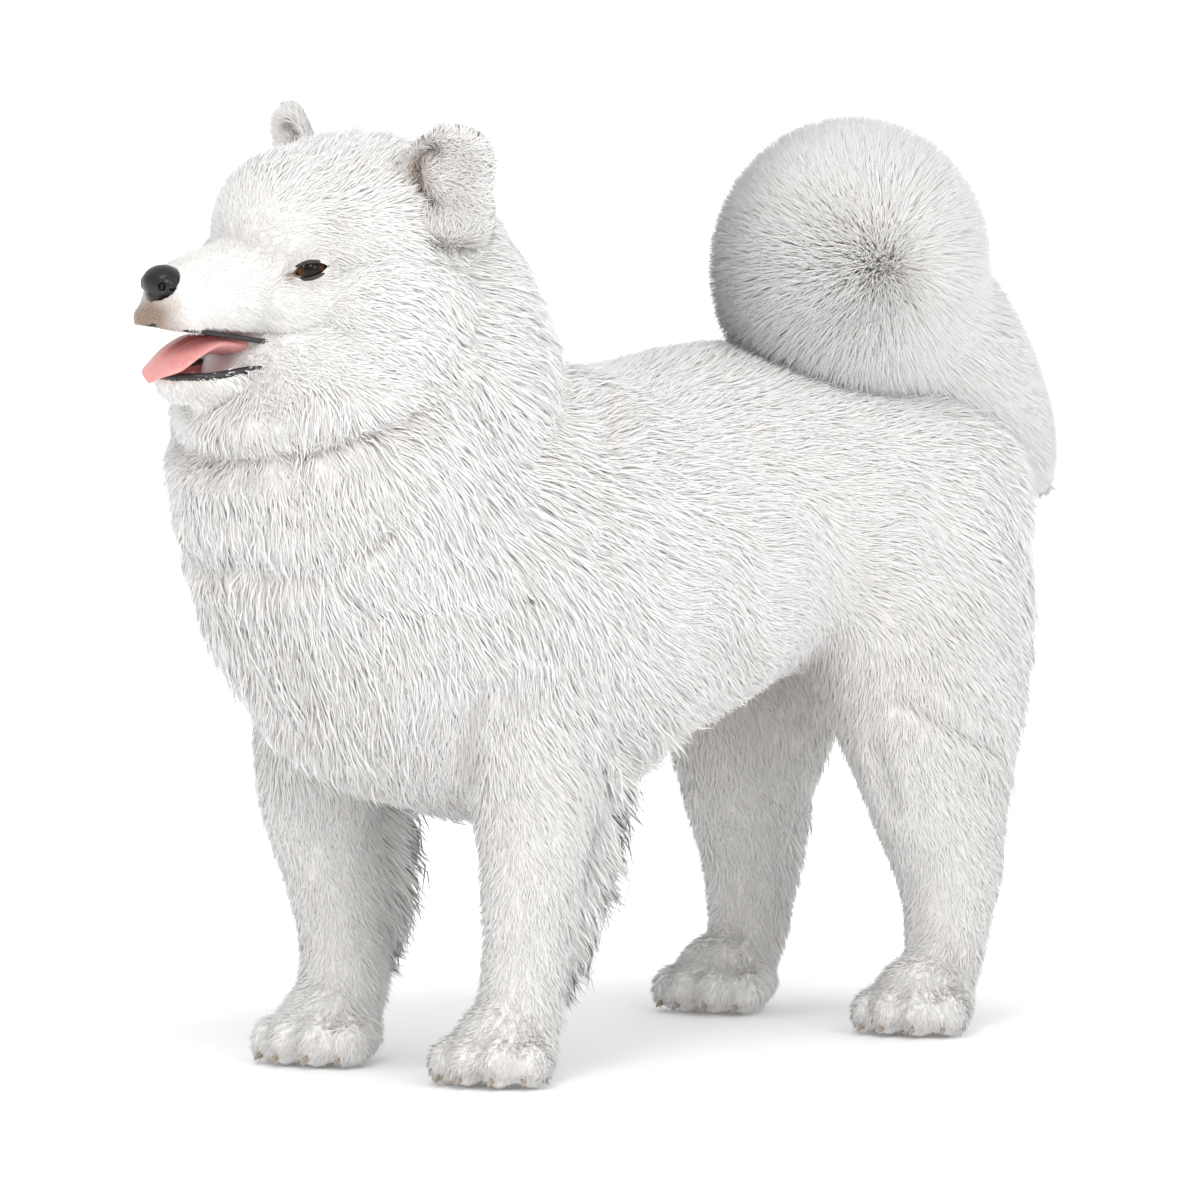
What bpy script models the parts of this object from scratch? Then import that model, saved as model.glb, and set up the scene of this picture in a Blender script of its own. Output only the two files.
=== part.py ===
# A standing samoyed as a still, life-size museum model. Metres, +Z up, the dog faces -Y and its left is +X.
# The soft body is modelled from swept forms, parted with thin cuts, and then given its locks of long coat.
import math
import random

import bmesh
import bpy
import numpy as np
from mathutils import Matrix, Vector
from mathutils.bvhtree import BVHTree

GAP = 0.0003            # room between touching pieces
FORE_TRACK = 0.109      # half the distance between the forelegs
HIND_TRACK = 0.1225     # half the distance between the hind legs
LOCK_TAPER = (0.55, 0.92, 1.0, 0.60, 0.10)  # a lock's width along it
LOCK_THICKNESS = 0.009
LOCK_TRIES = ((1.0, 1.0), (0.85, 0.8), (0.7, 0.7), (0.5, 0.6))  # shares of its length and width tried in turn
LOCK_ROUNDS = 6         # how often the locks at a faulty edge may be left out
ROOT_DEPTH = 0.009      # how deep a lock's root is sunk
LEAST_COAT = 0.010      # least and most height of a lying lock's tip over the core
MOST_COAT = 0.030
LONGEST_LOCK = 0.125
FLOOR_ROOM = 0.004
CORE_SHARE = 0.5        # how much of the long coat's depth is left to its locks
PAW_HEIGHT = 0.052      # where a paw is parted from its leg
HEAD_PLACE = Vector((0.0, -0.335, 0.745))
HEAD_YAW = math.radians(-8)
HEAD_ROLL = math.radians(2)
TAIL_CENTRE = Vector((0.050, 0.250, 0.690))
PLUME = (0.100, 0.146, 0.131)      # half sizes of the round of the plume
STANCE_SHIFT = Vector((-0.005, 0.024, 0.0))  # puts the middle of the whole outline over the origin
ROOM = 1.0              # half the side of the largest cutting blocks
MARGIN = 0.008          # spare material beyond a cut while a body is still being thinned
FACE_VOXEL = 0.0022

HEAD = (
    Matrix.Translation(HEAD_PLACE)
    @ Matrix.Rotation(HEAD_YAW, 4, "Z")
    @ Matrix.Rotation(HEAD_ROLL, 4, "Y")
)

MIRROR = Matrix.Diagonal((-1, 1, 1, 1))

# Coats given as locks over a core. One left out of this list is smooth forms out to the tips of its hair.
LOCKED = ("ruff", "tail")

# Each row of a form is x, y, z, half width, half depth, and the depth of the long coat there.
TORSO = [
    (0.0, 0.468, 0.420, 0.066, 0.074, 0.012),
    (0.0, 0.428, 0.430, 0.122, 0.118, 0.014),
    (0.0, 0.344, 0.446, 0.147, 0.138, 0.010),
    (0.0, 0.250, 0.463, 0.150, 0.139, 0.0),
    (0.0, 0.130, 0.463, 0.147, 0.150, 0.0),
    (0.0, 0.000, 0.437, 0.158, 0.163, 0.0),
    (0.0, -0.100, 0.425, 0.165, 0.182, 0.006),
    (0.0, -0.200, 0.420, 0.168, 0.200, 0.016),
    (0.0, -0.290, 0.425, 0.163, 0.175, 0.022),
    (0.0, -0.370, 0.440, 0.135, 0.140, 0.024),
    (0.0, -0.430, 0.460, 0.070, 0.080, 0.024),
]
NECK = [
    (0.0, -0.200, 0.360, 0.100, 0.100, 0.020),
    (0.0, -0.285, 0.430, 0.163, 0.163, 0.026),
    (0.0, -0.325, 0.490, 0.162, 0.165, 0.030),
    (0.0, -0.332, 0.560, 0.152, 0.182, 0.032),
    (0.0, -0.308, 0.620, 0.150, 0.190, 0.030),
    (0.0, -0.315, 0.680, 0.143, 0.152, 0.026),
    (0.0, -0.324, 0.735, 0.124, 0.125, 0.020),
    (0.0, -0.325, 0.790, 0.080, 0.080, 0.010),
]
FORELEG = [
    (0.078, -0.212, 0.420, 0.075, 0.105, 0.0),
    (0.094, -0.216, 0.330, 0.066, 0.085, 0.0),
    (0.107, -0.224, 0.240, 0.051, 0.061, 0.0),
    (0.109, -0.228, 0.170, 0.043, 0.049, 0.0),
    (0.109, -0.232, 0.105, 0.038, 0.041, 0.0),
    (0.109, -0.240, 0.030, 0.042, 0.046, 0.0),
    (0.109, -0.242, 0.010, 0.040, 0.044, 0.0),
]
FORE_FEATHER = [
    (0.104, -0.150, 0.330, 0.036, 0.060, 0.030),
    (0.106, -0.152, 0.240, 0.024, 0.062, 0.030),
    (0.108, -0.165, 0.160, 0.020, 0.050, 0.025),
    (0.109, -0.190, 0.080, 0.014, 0.030, 0.016),
]
HINDLEG = [
    (0.066, 0.286, 0.480, 0.080, 0.132, 0.0),
    (0.082, 0.294, 0.400, 0.078, 0.147, 0.004),
    (0.104, 0.292, 0.300, 0.068, 0.116, 0.006),
    (0.117, 0.294, 0.210, 0.053, 0.078, 0.006),
    (0.1225, 0.302, 0.135, 0.042, 0.052, 0.004),
    (0.1225, 0.298, 0.063, 0.037, 0.039, 0.0),
    (0.1225, 0.290, 0.025, 0.038, 0.042, 0.0),
    (0.1225, 0.288, 0.010, 0.036, 0.040, 0.0),
]
HIND_FEATHER = [
    (0.112, 0.330, 0.310, 0.036, 0.085, 0.028),
    (0.119, 0.326, 0.220, 0.026, 0.066, 0.026),
    (0.1225, 0.322, 0.145, 0.020, 0.050, 0.020),
    (0.1225, 0.312, 0.085, 0.014, 0.030, 0.012),
]
TAIL_BONE = [
    (0.000, 0.385, 0.470, 0.046, 0.046, 0.0),
    (0.002, 0.362, 0.555, 0.044, 0.044, 0.0),
    (0.010, 0.322, 0.640, 0.040, 0.040, 0.0),
    (0.022, 0.294, 0.705, 0.036, 0.036, 0.0),
    (0.038, 0.252, 0.737, 0.034, 0.034, 0.0),
    (0.052, 0.212, 0.718, 0.033, 0.033, 0.0),
    (0.060, 0.196, 0.682, 0.032, 0.032, 0.0),
    (0.068, 0.216, 0.650, 0.030, 0.030, 0.0),
    (0.074, 0.252, 0.643, 0.022, 0.022, 0.0),
]
TAIL_FALL = [
    (0.032, 0.230, 0.650, 0.074, 0.105, 0.0),
    (0.036, 0.312, 0.640, 0.078, 0.104, 0.0),
    (0.042, 0.390, 0.590, 0.068, 0.080, 0.0),
    (0.048, 0.450, 0.536, 0.046, 0.052, 0.0),
    (0.054, 0.502, 0.470, 0.014, 0.014, 0.0),
]

# The head in its own frame: x to its left, d ahead, z up, from the middle of the skull.
MUZZLE = [
    (0.0, 0.020, -0.040, 0.074, 0.060),
    (0.0, 0.080, -0.042, 0.068, 0.054),
    (0.0, 0.130, -0.044, 0.052, 0.044),
    (0.0, 0.182, -0.045, 0.043, 0.036),
    (0.0, 0.222, -0.051, 0.036, 0.027),
]
JAW = [
    (0.0, 0.020, -0.104, 0.074, 0.049),
    (0.0, 0.085, -0.1145, 0.062, 0.0355),
    (0.0, 0.140, -0.1170, 0.046, 0.0270),
    (0.0, 0.186, -0.1180, 0.033, 0.0215),
    (0.0, 0.207, -0.1185, 0.024, 0.0160),
]
MOUTH = [
    (0.0, 0.096, -0.0915, 0.090, 0.0045),
    (0.0, 0.135, -0.0940, 0.092, 0.0105),
    (0.0, 0.175, -0.0925, 0.092, 0.0175),
    (0.0, 0.225, -0.0900, 0.092, 0.0220),
    (0.0, 0.280, -0.0880, 0.092, 0.0240),
]
MOUTH_BED = [
    (0.0, 0.098, -0.1000, 0.040, 0.0050),
    (0.0, 0.125, -0.1070, 0.036, 0.0100),
    (0.0, 0.160, -0.1110, 0.029, 0.0110),
    (0.0, 0.196, -0.1120, 0.015, 0.0060),
]
TONGUE = [
    (0.0, 0.106, -0.0985, 0.024, 0.0050),
    (0.0, 0.140, -0.1010, 0.027, 0.0062),
    (0.003, 0.180, -0.1010, 0.026, 0.0060),
    (0.007, 0.206, -0.1015, 0.021, 0.0050),
    (0.009, 0.219, -0.1065, 0.013, 0.0038),
]
EYE_PLACE = (0.050, 0.090, -0.021)
EYE_RADIUS = 0.0135
EAR_PLACE = (0.108, -0.020, 0.034)
EAR_WIDTH = 0.041
EAR_HEIGHT = 0.080
EAR_THICKNESS = 0.012
EAR_TURN = {"ear_left": 38, "ear_right": 24}


def clear_scene():
    for obj in list(bpy.data.objects):
        bpy.data.objects.remove(obj)


def new_collection(name):
    collection = bpy.data.collections.new(name)
    bpy.context.scene.collection.children.link(collection)
    return collection


clear_scene()
SAMOYED = new_collection("samoyed")
HELPERS = new_collection("helpers")


def new_object(name, bm, collection=HELPERS):
    mesh = bpy.data.meshes.new(name)
    bmesh.ops.recalc_face_normals(bm, faces=bm.faces)
    bm.to_mesh(mesh)
    bm.free()
    obj = bpy.data.objects.new(name, mesh)
    collection.objects.link(obj)
    if collection is HELPERS:
        obj.hide_render = True
        obj.display_type = "WIRE"
    return obj


def remove(obj):
    bpy.data.objects.remove(obj)


def apply_modifiers(obj):
    """Bakes the object's modifiers into a mesh of its own."""
    graph = bpy.context.evaluated_depsgraph_get()
    mesh = bpy.data.meshes.new_from_object(obj.evaluated_get(graph))
    obj.modifiers.clear()
    obj.data = mesh


def faults(mesh):
    """Where edges aren't shared by just two faces once points closer than 0.0001 mm are one."""
    mesh.calc_loop_triangles()
    points = np.empty(3 * len(mesh.vertices))
    mesh.vertices.foreach_get("co", points)
    faces = np.empty(3 * len(mesh.loop_triangles), int)
    mesh.loop_triangles.foreach_get("vertices", faces)
    spots, index = np.unique(np.round(points.reshape(-1, 3) / 1e-7).astype(int), axis=0, return_inverse=True)
    faces = index.reshape(-1)[faces].reshape(-1, 3)
    faces = faces[(faces != np.roll(faces, 1, axis=1)).all(axis=1)]
    edges = np.sort(np.concatenate([faces[:, [0, 1]], faces[:, [1, 2]], faces[:, [2, 0]]]), axis=1)
    edges, uses = np.unique(edges, axis=0, return_counts=True)
    return spots[edges[uses != 2][:, 0]] * 1e-7


def boolean(obj, operation, cutter, solvers=("EXACT", "MANIFOLD")):
    """Cuts or joins with the exact solver, or with the manifold one where that leaves a faulty edge."""
    before = obj.data
    for solver in solvers:
        obj.data = before
        modifier = obj.modifiers.new("cut", "BOOLEAN")
        modifier.operation = operation
        modifier.solver = solver
        modifier.object = cutter
        apply_modifiers(obj)
        if len(obj.data.polygons) and not len(faults(obj.data)):
            break
    remove(cutter)


def surfaces(bm):
    """The mesh's closed surfaces, each as a list of faces."""
    left = set(bm.faces)
    found = []
    while left:
        group = [left.pop()]
        for face in group:
            for edge in face.edges:
                for other in edge.link_faces:
                    if other in left:
                        left.remove(other)
                        group.append(other)
        found.append(group)
    return found


def keep_largest(obj):
    bm = bmesh.new()
    bm.from_mesh(obj.data)
    groups = sorted(surfaces(bm), key=len, reverse=True)
    for group in groups[1:]:
        bmesh.ops.delete(bm, geom=group, context="FACES")
    bmesh.ops.triangulate(bm, faces=bm.faces)
    bm.to_mesh(obj.data)
    bm.free()


def copy_of(obj, name):
    twin = bpy.data.objects.new(name, obj.data.copy())
    HELPERS.objects.link(twin)
    twin.hide_render = True
    twin.display_type = "WIRE"
    return twin


def catmull(rows, t):
    """The rows' values at shares t of the way along them, on a smooth curve through every row."""
    rows = np.asarray(rows, float)
    steps = np.linalg.norm(np.diff(rows[:, :3], axis=0), axis=1)
    knots = np.concatenate([[0.0], np.cumsum(steps)]) / steps.sum()
    slopes = np.empty_like(rows)
    slopes[1:-1] = (rows[2:] - rows[:-2]) / (knots[2:] - knots[:-2])[:, None]
    slopes[0] = (rows[1] - rows[0]) / (knots[1] - knots[0])
    slopes[-1] = (rows[-1] - rows[-2]) / (knots[-1] - knots[-2])
    k = np.clip(np.searchsorted(knots, t, side="right") - 1, 0, len(rows) - 2)
    span = (knots[k + 1] - knots[k])[:, None]
    u = ((t - knots[k]) / span[:, 0])[:, None]
    return (
        (2 * u**3 - 3 * u**2 + 1) * rows[k]
        + (u**3 - 2 * u**2 + u) * span * slopes[k]
        + (3 * u**2 - 2 * u**3) * rows[k + 1]
        + (u**3 - u**2) * span * slopes[k + 1]
    )


def swept(bm, rows, sides=24, rings=24, cap=0.16, lateral=(1.0, 0.0, 0.0)):
    """Adds a closed soft form: a UV sphere drawn out along the rows, its ends rounded over a share, cap, of it."""
    ball = bmesh.ops.create_uvsphere(bm, u_segments=sides, v_segments=rings, radius=1.0)["verts"]
    points = np.array([v.co for v in ball])
    t = np.arccos(np.clip(points[:, 2], -1, 1)) / math.pi
    around = np.arctan2(points[:, 1], points[:, 0])
    here = catmull(rows, t)
    ahead = catmull(rows, np.minimum(t + 0.01, 1))[:, :3] - catmull(rows, np.maximum(t - 0.01, 0))[:, :3]
    ahead /= np.linalg.norm(ahead, axis=1)[:, None]
    lateral = np.array(lateral)
    side = lateral - ahead * (ahead @ lateral)[:, None]
    side /= np.linalg.norm(side, axis=1)[:, None]
    up = np.cross(side, ahead)
    ends = np.minimum(np.minimum(t, 1 - t) / cap, 1)
    full = np.sqrt(np.maximum(1 - (1 - ends) ** 2, 0))
    placed = (
        here[:, :3]
        + side * (np.cos(around) * here[:, 3] * full)[:, None]
        + up * (np.sin(around) * here[:, 4] * full)[:, None]
    )
    for vert, co in zip(ball, placed):
        vert.co = co
    return ball


def ellipsoid(bm, centre, radii, turn=None, sides=24):
    place = Matrix.Translation(centre) @ (turn or Matrix()) @ Matrix.Diagonal((*radii, 1))
    return bmesh.ops.create_uvsphere(
        bm, u_segments=sides, v_segments=sides // 2, radius=1.0, matrix=place
    )["verts"]


def block(name, low, high, grow=0.0):
    """A box between two corners, as a cutter."""
    low = Vector(low) - Vector((grow,) * 3)
    high = Vector(high) + Vector((grow,) * 3)
    bm = bmesh.new()
    place = Matrix.Translation((low + high) / 2) @ Matrix.Diagonal((*(high - low), 1))
    bmesh.ops.create_cube(bm, size=1.0, matrix=place)
    return new_object(name, bm)


def half_space(name, point, normal, grow=0.0):
    """A large block on the normal's side of a plane."""
    normal = Vector(normal).normalized()
    turn = normal.to_track_quat("Z", "Y").to_matrix().to_4x4()
    middle = Vector(point) + normal * (ROOM - grow)
    bm = bmesh.new()
    place = Matrix.Translation(middle) @ turn @ Matrix.Diagonal((2 * ROOM,) * 3 + (1,))
    bmesh.ops.create_cube(bm, size=1.0, matrix=place)
    return new_object(name, bm)


def fused(obj, voxel, smooth):
    """Fuses an object's overlapping forms into one soft skin."""
    remesh = obj.modifiers.new("fuse", "REMESH")
    remesh.mode = "VOXEL"
    remesh.voxel_size = voxel
    relax = obj.modifiers.new("relax", "SMOOTH")
    relax.factor = 0.5
    relax.iterations = smooth
    apply_modifiers(obj)
    keep_largest(obj)


def thinned(obj, triangles):
    """Brings a skin down to about so many triangles."""
    thin = obj.modifiers.new("thin", "DECIMATE")
    thin.ratio = min(triangles / len(obj.data.polygons), 1.0)
    apply_modifiers(obj)
    keep_largest(obj)


def melted(obj, voxel, smooth, triangles):
    fused(obj, voxel, smooth)
    thinned(obj, triangles)


class Lock:
    """A flat, tapered, bending lock: the points along it, its widths, and which way it is flat."""

    def __init__(self, points, outward, width, thickness):
        self.points = [Vector(point) for point in points]
        run = self.points[-1] - self.points[0]
        self.lateral = run.cross(outward).normalized()
        self.width = width
        self.thickness = thickness

    def mesh(self, extra=0.0):
        """The lock as a closed mesh of few sides, a little fatter all round where extra is given."""
        bm = bmesh.new()
        rows = []
        for point, share in zip(self.points, LOCK_TAPER):
            rows.append((*point, self.width * share / 2 + extra, self.thickness * share / 2 + extra))
        swept(bm, rows, sides=4, rings=len(rows) - 1, cap=0.1, lateral=self.lateral)
        return bm

    def near(self, place):
        return min((point - Vector(place)).length for point in self.points) < 0.6 * self.width

    def clear_of(self, trees):
        bm = self.mesh(2.5 * GAP)
        lowest = min(vert.co.z for vert in bm.verts)
        tree = BVHTree.FromBMesh(bm)
        bm.free()
        return lowest > FLOOR_ROOM and not any(tree.overlap(other) for other in trees)


def seeds_on(obj, spacing, wanted, seed):
    """Points spread over a body's surface, each with its normal, no nearer to one another than the spacing."""
    obj.data.calc_loop_triangles()
    corners = np.array([[obj.data.vertices[i].co for i in tri.vertices] for tri in obj.data.loop_triangles])
    normals = np.array([tri.normal for tri in obj.data.loop_triangles])
    areas = np.array([tri.area for tri in obj.data.loop_triangles])
    draw = np.random.default_rng(seed)
    picks = draw.choice(len(areas), 6000, p=areas / areas.sum())
    u, v = draw.random((2, 6000))
    flip = u + v > 1
    u[flip], v[flip] = 1 - u[flip], 1 - v[flip]
    a, b, c = corners[picks].transpose(1, 0, 2)
    spots = a + (b - a) * u[:, None] + (c - a) * v[:, None]
    chosen = []
    for spot, normal in zip(spots, normals[picks]):
        if not wanted(spot, normal):
            continue
        if all(np.linalg.norm(spot - other) > spacing for other, _ in chosen):
            chosen.append((spot, normal))
    return [(Vector(spot), Vector(normal)) for spot, normal in chosen]


def lying_lock(core, outer, spot, lie, length, width, bend):
    """A lock that leaves the core at a spot and follows its surface, rising to the coat's outer form."""
    points = []
    out = None
    for share, rise in zip((0.0, 0.25, 0.5, 0.75, 1.0), (-1.0, 0.45, 0.80, 0.95, 0.98)):
        beside = lie.cross(out) * bend * share * share if out else Vector()
        near, out, _, _ = core.find_nearest(spot + lie * length * share + beside)
        _, _, _, depth = outer.ray_cast(near + out * 0.001, out)
        depth = min(max(depth or 0.0, LEAST_COAT), MOST_COAT)
        points.append(near + out * (depth * rise if rise > 0 else -ROOT_DEPTH))
    return Lock(points, out, width, LOCK_THICKNESS)


def rising_lock(outer, spot, normal, aim, width, reach=1.0):
    """A lock that stands out from the core and curves over to its tip on the coat's outer form."""
    aim = aim.normalized()
    hit, _, _, depth = outer.ray_cast(spot + normal * 0.002, aim)
    if hit is None:
        return None
    depth = min(depth, LONGEST_LOCK) * reach - 0.002
    tip = spot + aim * depth
    knee = spot + normal * depth * 0.55
    start = spot - normal * ROOT_DEPTH
    points = []
    for share in (0.0, 0.25, 0.5, 0.75, 1.0):
        points.append(start * (1 - share) ** 2 + knee * 2 * share * (1 - share) + tip * share**2)
    return Lock(points, normal, width, LOCK_THICKNESS * 1.3)


def with_locks(obj, locks):
    """Fuses the locks to their body in one union, without those that would leave a faulty edge."""
    before = obj.data
    for _ in range(LOCK_ROUNDS):
        collection = new_collection("locks")
        for lock in locks:
            new_object("lock", lock.mesh(), collection)
        obj.data = before
        modifier = obj.modifiers.new("locks", "BOOLEAN")
        modifier.operation = "UNION"
        modifier.operand_type = "COLLECTION"
        modifier.collection = collection
        modifier.solver = "EXACT"
        apply_modifiers(obj)
        keep_largest(obj)
        for helper in list(collection.objects):
            remove(helper)
        bpy.data.collections.remove(collection)
        places = faults(obj.data)
        if not len(places):
            break
        locks = [lock for lock in locks if not any(lock.near(place) for place in places)]


def flat_to(vector, normal):
    """The part of a vector that lies along a surface, at length one."""
    return (vector - normal * vector.dot(normal)).normalized()


def away_from(spot, plane, room):
    point, normal = plane
    return abs((Vector(spot) - Vector(point)).dot(Vector(normal).normalized())) > room


def ruff_kind(name, spot, normal):
    """The length and width of the lock that belongs at a spot of a body, its lie, and whether it stands out."""
    x, y, z = spot
    if name == "neck":
        if away_from(spot, SHOULDER_CUT, 0.006) and away_from(spot, THROAT_CUT, 0.006):
            return 0.130, 0.042, Vector((0.25 * x, 0.50, -1.0)), False
    if name == "torso":
        if away_from(spot, SHOULDER_CUT, 0.006) and y < -0.12 and (z < 0.50 or y < -0.3):
            return 0.125, 0.042, Vector((0.0, 0.45, -1.0)), False
        if z < 0.330 and normal[2] < -0.35 and -0.12 < y < 0.20 and abs(x) > 0.02:
            return 0.075, 0.036, Vector((0.0, 0.75, -0.45)), False
        if y > 0.40 and normal[1] > 0.5 and z < 0.50:
            return 0.115, 0.040, Vector((0.0, 0.10, -1.0)), False
    if name.startswith("foreleg") and 0.085 < z < 0.255 and normal[1] > 0.35:
        return 0.080, 0.032, Vector((0.10 * (1 if x > 0 else -1), 0.80, -0.70)), True
    if name.startswith("hindleg") and z < 0.338 and normal[1] > 0.55:
        return 0.095, 0.038, Vector((0.0, 0.25, -1.0)), False
    if name.startswith("hock") and 0.075 < z < 0.165 and normal[1] > 0.6:
        return 0.050, 0.032, Vector((0.0, 0.70, -0.80)), True
    return None


SPACING = {"neck": 0.056, "torso": 0.056, "foreleg": 0.028, "hindleg": 0.048, "hock": 0.030}


def ruff_locks(name, obj, outer, trees):
    """The locks of one body of the ruff, chest, belly, legs or breeches, each clear of its neighbours."""
    core = tree_of(obj)
    draw = random.Random(name)
    found = []
    for spot, normal in seeds_on(obj, SPACING[name.split("_")[0]], lambda s, n: ruff_kind(name, s, n), len(name)):
        length, width, lie, stands = ruff_kind(name, spot, normal)
        length *= draw.uniform(0.85, 1.15)
        width *= draw.uniform(0.85, 1.10)
        bend = draw.uniform(-0.020, 0.020)
        for reach, slim in LOCK_TRIES:
            if stands:
                lock = rising_lock(outer, spot, normal, lie + Vector((bend * 4, 0, 0)), width * slim, reach)
            else:
                lock = lying_lock(core, outer, spot, flat_to(lie, normal), length * reach, width * slim, bend)
            if lock and lock.clear_of(trees):
                found.append(lock)
                break
    return found


def tail_locks(name, obj, outer, trees):
    """The plume: locks that spread from the curl's middle and fall to the rear lower down."""
    draw = random.Random(name)
    found = []
    for spot, normal in seeds_on(obj, 0.029, lambda s, n: s[2] > 0.555, len(name)):
        spread = spot - TAIL_CENTRE
        spread.x *= 0.3
        fall = Vector((0.08, 0.85, -0.55)) * (0.9 if name == "tail_root" else 0.35)
        aim = normal * 0.3 + spread.normalized() * 0.8 + fall * draw.uniform(0.7, 1.2)
        width = draw.uniform(0.040, 0.052)
        for reach, slim in LOCK_TRIES:
            lock = rising_lock(outer, spot, normal, aim, width * slim, reach)
            if lock and lock.clear_of(trees):
                found.append(lock)
                break
    return found


def grown(obj, name, by):
    """A copy of a closed body, a little larger all round, to cut a neighbour clear of it."""
    twin = copy_of(obj, name)
    swell = twin.modifiers.new("swell", "DISPLACE")
    swell.strength = by
    swell.mid_level = 0.0
    apply_modifiers(twin)
    return twin


def mirrored(rows):
    return [(-row[0], *row[1:]) for row in rows]


def cored(rows, share):
    """The rows with their half sizes less a share of the coat's depth."""
    return [(x, y, z, a - share * c, b - share * c) for x, y, z, a, b, c in rows]


def shifted(rows, y, top):
    """The rows moved along the body, most from a height of top up and hardly at all at the paw."""
    return [(row[0], row[1] + y * min(max(row[2] / top, 0), 1) ** 2, *row[2:]) for row in rows]


LEGS = {
    "foreleg_left": (FORELEG, 0.008),
    "foreleg_right": (mirrored(FORELEG), -0.045),
    "hindleg_left": (HINDLEG, 0.0),
    "hindleg_right": (mirrored(HINDLEG), 0.0),
}


def body_forms(share):
    """The torso, neck and legs as overlapping forms, less a share of the coat's depth."""
    bm = bmesh.new()
    swept(bm, cored(TORSO, share), sides=32, rings=32, cap=0.10)
    add_neck(bm, share)
    for rows, y in LEGS.values():
        swept(bm, cored(shifted(rows, y, FORELEG[2][2]), share))
    return bm


def feather_forms(bm, share):
    for rows, y in ((FORE_FEATHER, 0.008), (mirrored(FORE_FEATHER), -0.030)):
        swept(bm, cored(shifted(rows, y, FORELEG[2][2]), share))
    for rows, y in ((HIND_FEATHER, -0.012), (mirrored(HIND_FEATHER), 0.014)):
        swept(bm, cored([(r[0], r[1] + y, *r[2:]) for r in rows], share))


# Coarse shares of the whole budget, in triangles
BUDGET = {
    "body": 1340,
    "neck": 320,
    "head": 1460,
    "paw": 205,
    "tail": 300,
}
SHOULDER_CUT = ((0.0, -0.150, 0.600), (0.0, -0.62, 0.78))
THROAT_CUT = ((0.0, -0.500, 0.597), (0.0, -0.50, 0.866))
LEG_BOXES = {
    "foreleg_left": ((0.042, -0.345, -ROOM), (ROOM, -0.060, 0.262)),
    "foreleg_right": ((-ROOM, -0.360, -ROOM), (-0.042, -0.075, 0.262)),
    "hindleg_left": ((0.024, 0.095, -ROOM), (ROOM, ROOM, 0.345)),
    "hindleg_right": ((-ROOM, 0.095, -ROOM), (-0.024, ROOM, 0.345)),
}
HOCK_HEIGHT = 0.170


def paw(name, place, turn, size=1.0):
    """A paw: four toes ahead of a padded base, cut flat under it."""
    bm = bmesh.new()
    leg, y = LEGS[name.replace("paw", "leg")]
    swept(bm, cored(shifted(leg, y, FORELEG[2][2]), 0.0))
    spin = Matrix.Rotation(turn, 4, "Z")
    base = Vector((place[0], place[1], 0.0))

    def at(x, d, z):
        return base + spin @ Vector((x * size, -d * size, z * size))

    ellipsoid(bm, at(0, -0.010, 0.026), (0.053 * size, 0.048 * size, 0.032 * size), spin)
    ellipsoid(bm, at(0, 0.000, 0.040), (0.043 * size, 0.042 * size, 0.036 * size), spin)
    for side in (-1, 1):
        ellipsoid(bm, at(side * 0.0150, 0.036, 0.0240), (0.0200 * size, 0.028 * size, 0.0260 * size), spin)
        ellipsoid(bm, at(side * 0.0400, 0.022, 0.0220), (0.0200 * size, 0.028 * size, 0.0240 * size), spin)
    obj = new_object(name, bm)
    fused(obj, 0.0034, 5)
    boolean(obj, "INTERSECT", block("near_floor", (-ROOM,) * 3, (ROOM, ROOM, PAW_HEIGHT + MARGIN)), ("MANIFOLD",))
    thinned(obj, BUDGET["paw"])
    return obj


PAWS = {
    "forepaw_left": ((FORE_TRACK, -0.262), math.radians(22), 1.0),
    "forepaw_right": ((-FORE_TRACK, -0.263), math.radians(14), 1.0),
    "hindpaw_left": ((HIND_TRACK, 0.264), math.radians(22), 0.97),
    "hindpaw_right": ((-HIND_TRACK, 0.263), math.radians(14), 0.97),
}


def floor_block():
    return block("floor", (-ROOM, -ROOM, -ROOM), (ROOM, ROOM, 0.0))


def head_point(x, d, z):
    return HEAD @ Vector((x, -d, z))


def head_rows(rows):
    """Rows of the head's own frame, as rows that swept() takes before the head is placed."""
    return [(x, -d, z, a, b) for x, d, z, a, b in rows]


def head_forms():
    bm = bmesh.new()
    ellipsoid(bm, (0, 0.0, 0.006), (0.112, 0.116, 0.078), sides=32)
    ellipsoid(bm, (0, -0.062, 0.000), (0.074, 0.074, 0.064), sides=32)
    for side in (-1, 1):
        ellipsoid(bm, (side * 0.070, -0.012, -0.058), (0.060, 0.080, 0.068))
        ellipsoid(bm, (side * 0.038, -0.074, -0.044), (0.048, 0.066, 0.054))
    ellipsoid(bm, (0, -0.080, -0.152), (0.074, 0.084, 0.034))
    swept(bm, head_rows(MUZZLE))
    swept(bm, head_rows(JAW))
    bmesh.ops.transform(bm, matrix=HEAD, verts=bm.verts)
    return bm


def add_neck(bm, share):
    swept(bm, cored(NECK, share), sides=32, rings=28)


def first_hit(tree, start, aim):
    """Where a straight line from start towards aim first meets a surface, and that surface's normal."""
    spot, normal, _, _ = tree.ray_cast(start, (aim - start).normalized())
    return spot, normal


def tree_of(obj):
    bm = bmesh.new()
    bm.from_mesh(obj.data)
    tree = BVHTree.FromBMesh(bm)
    bm.free()
    return tree


def tube(bm, points, radii, sides=6):
    """A closed tube of so many sides through the points, ending in points of its own."""
    rows = [(*point, radius, radius) for point, radius in zip(points, radii)]
    return swept(bm, rows, sides=sides, rings=2 * len(points), cap=0.10)


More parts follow.
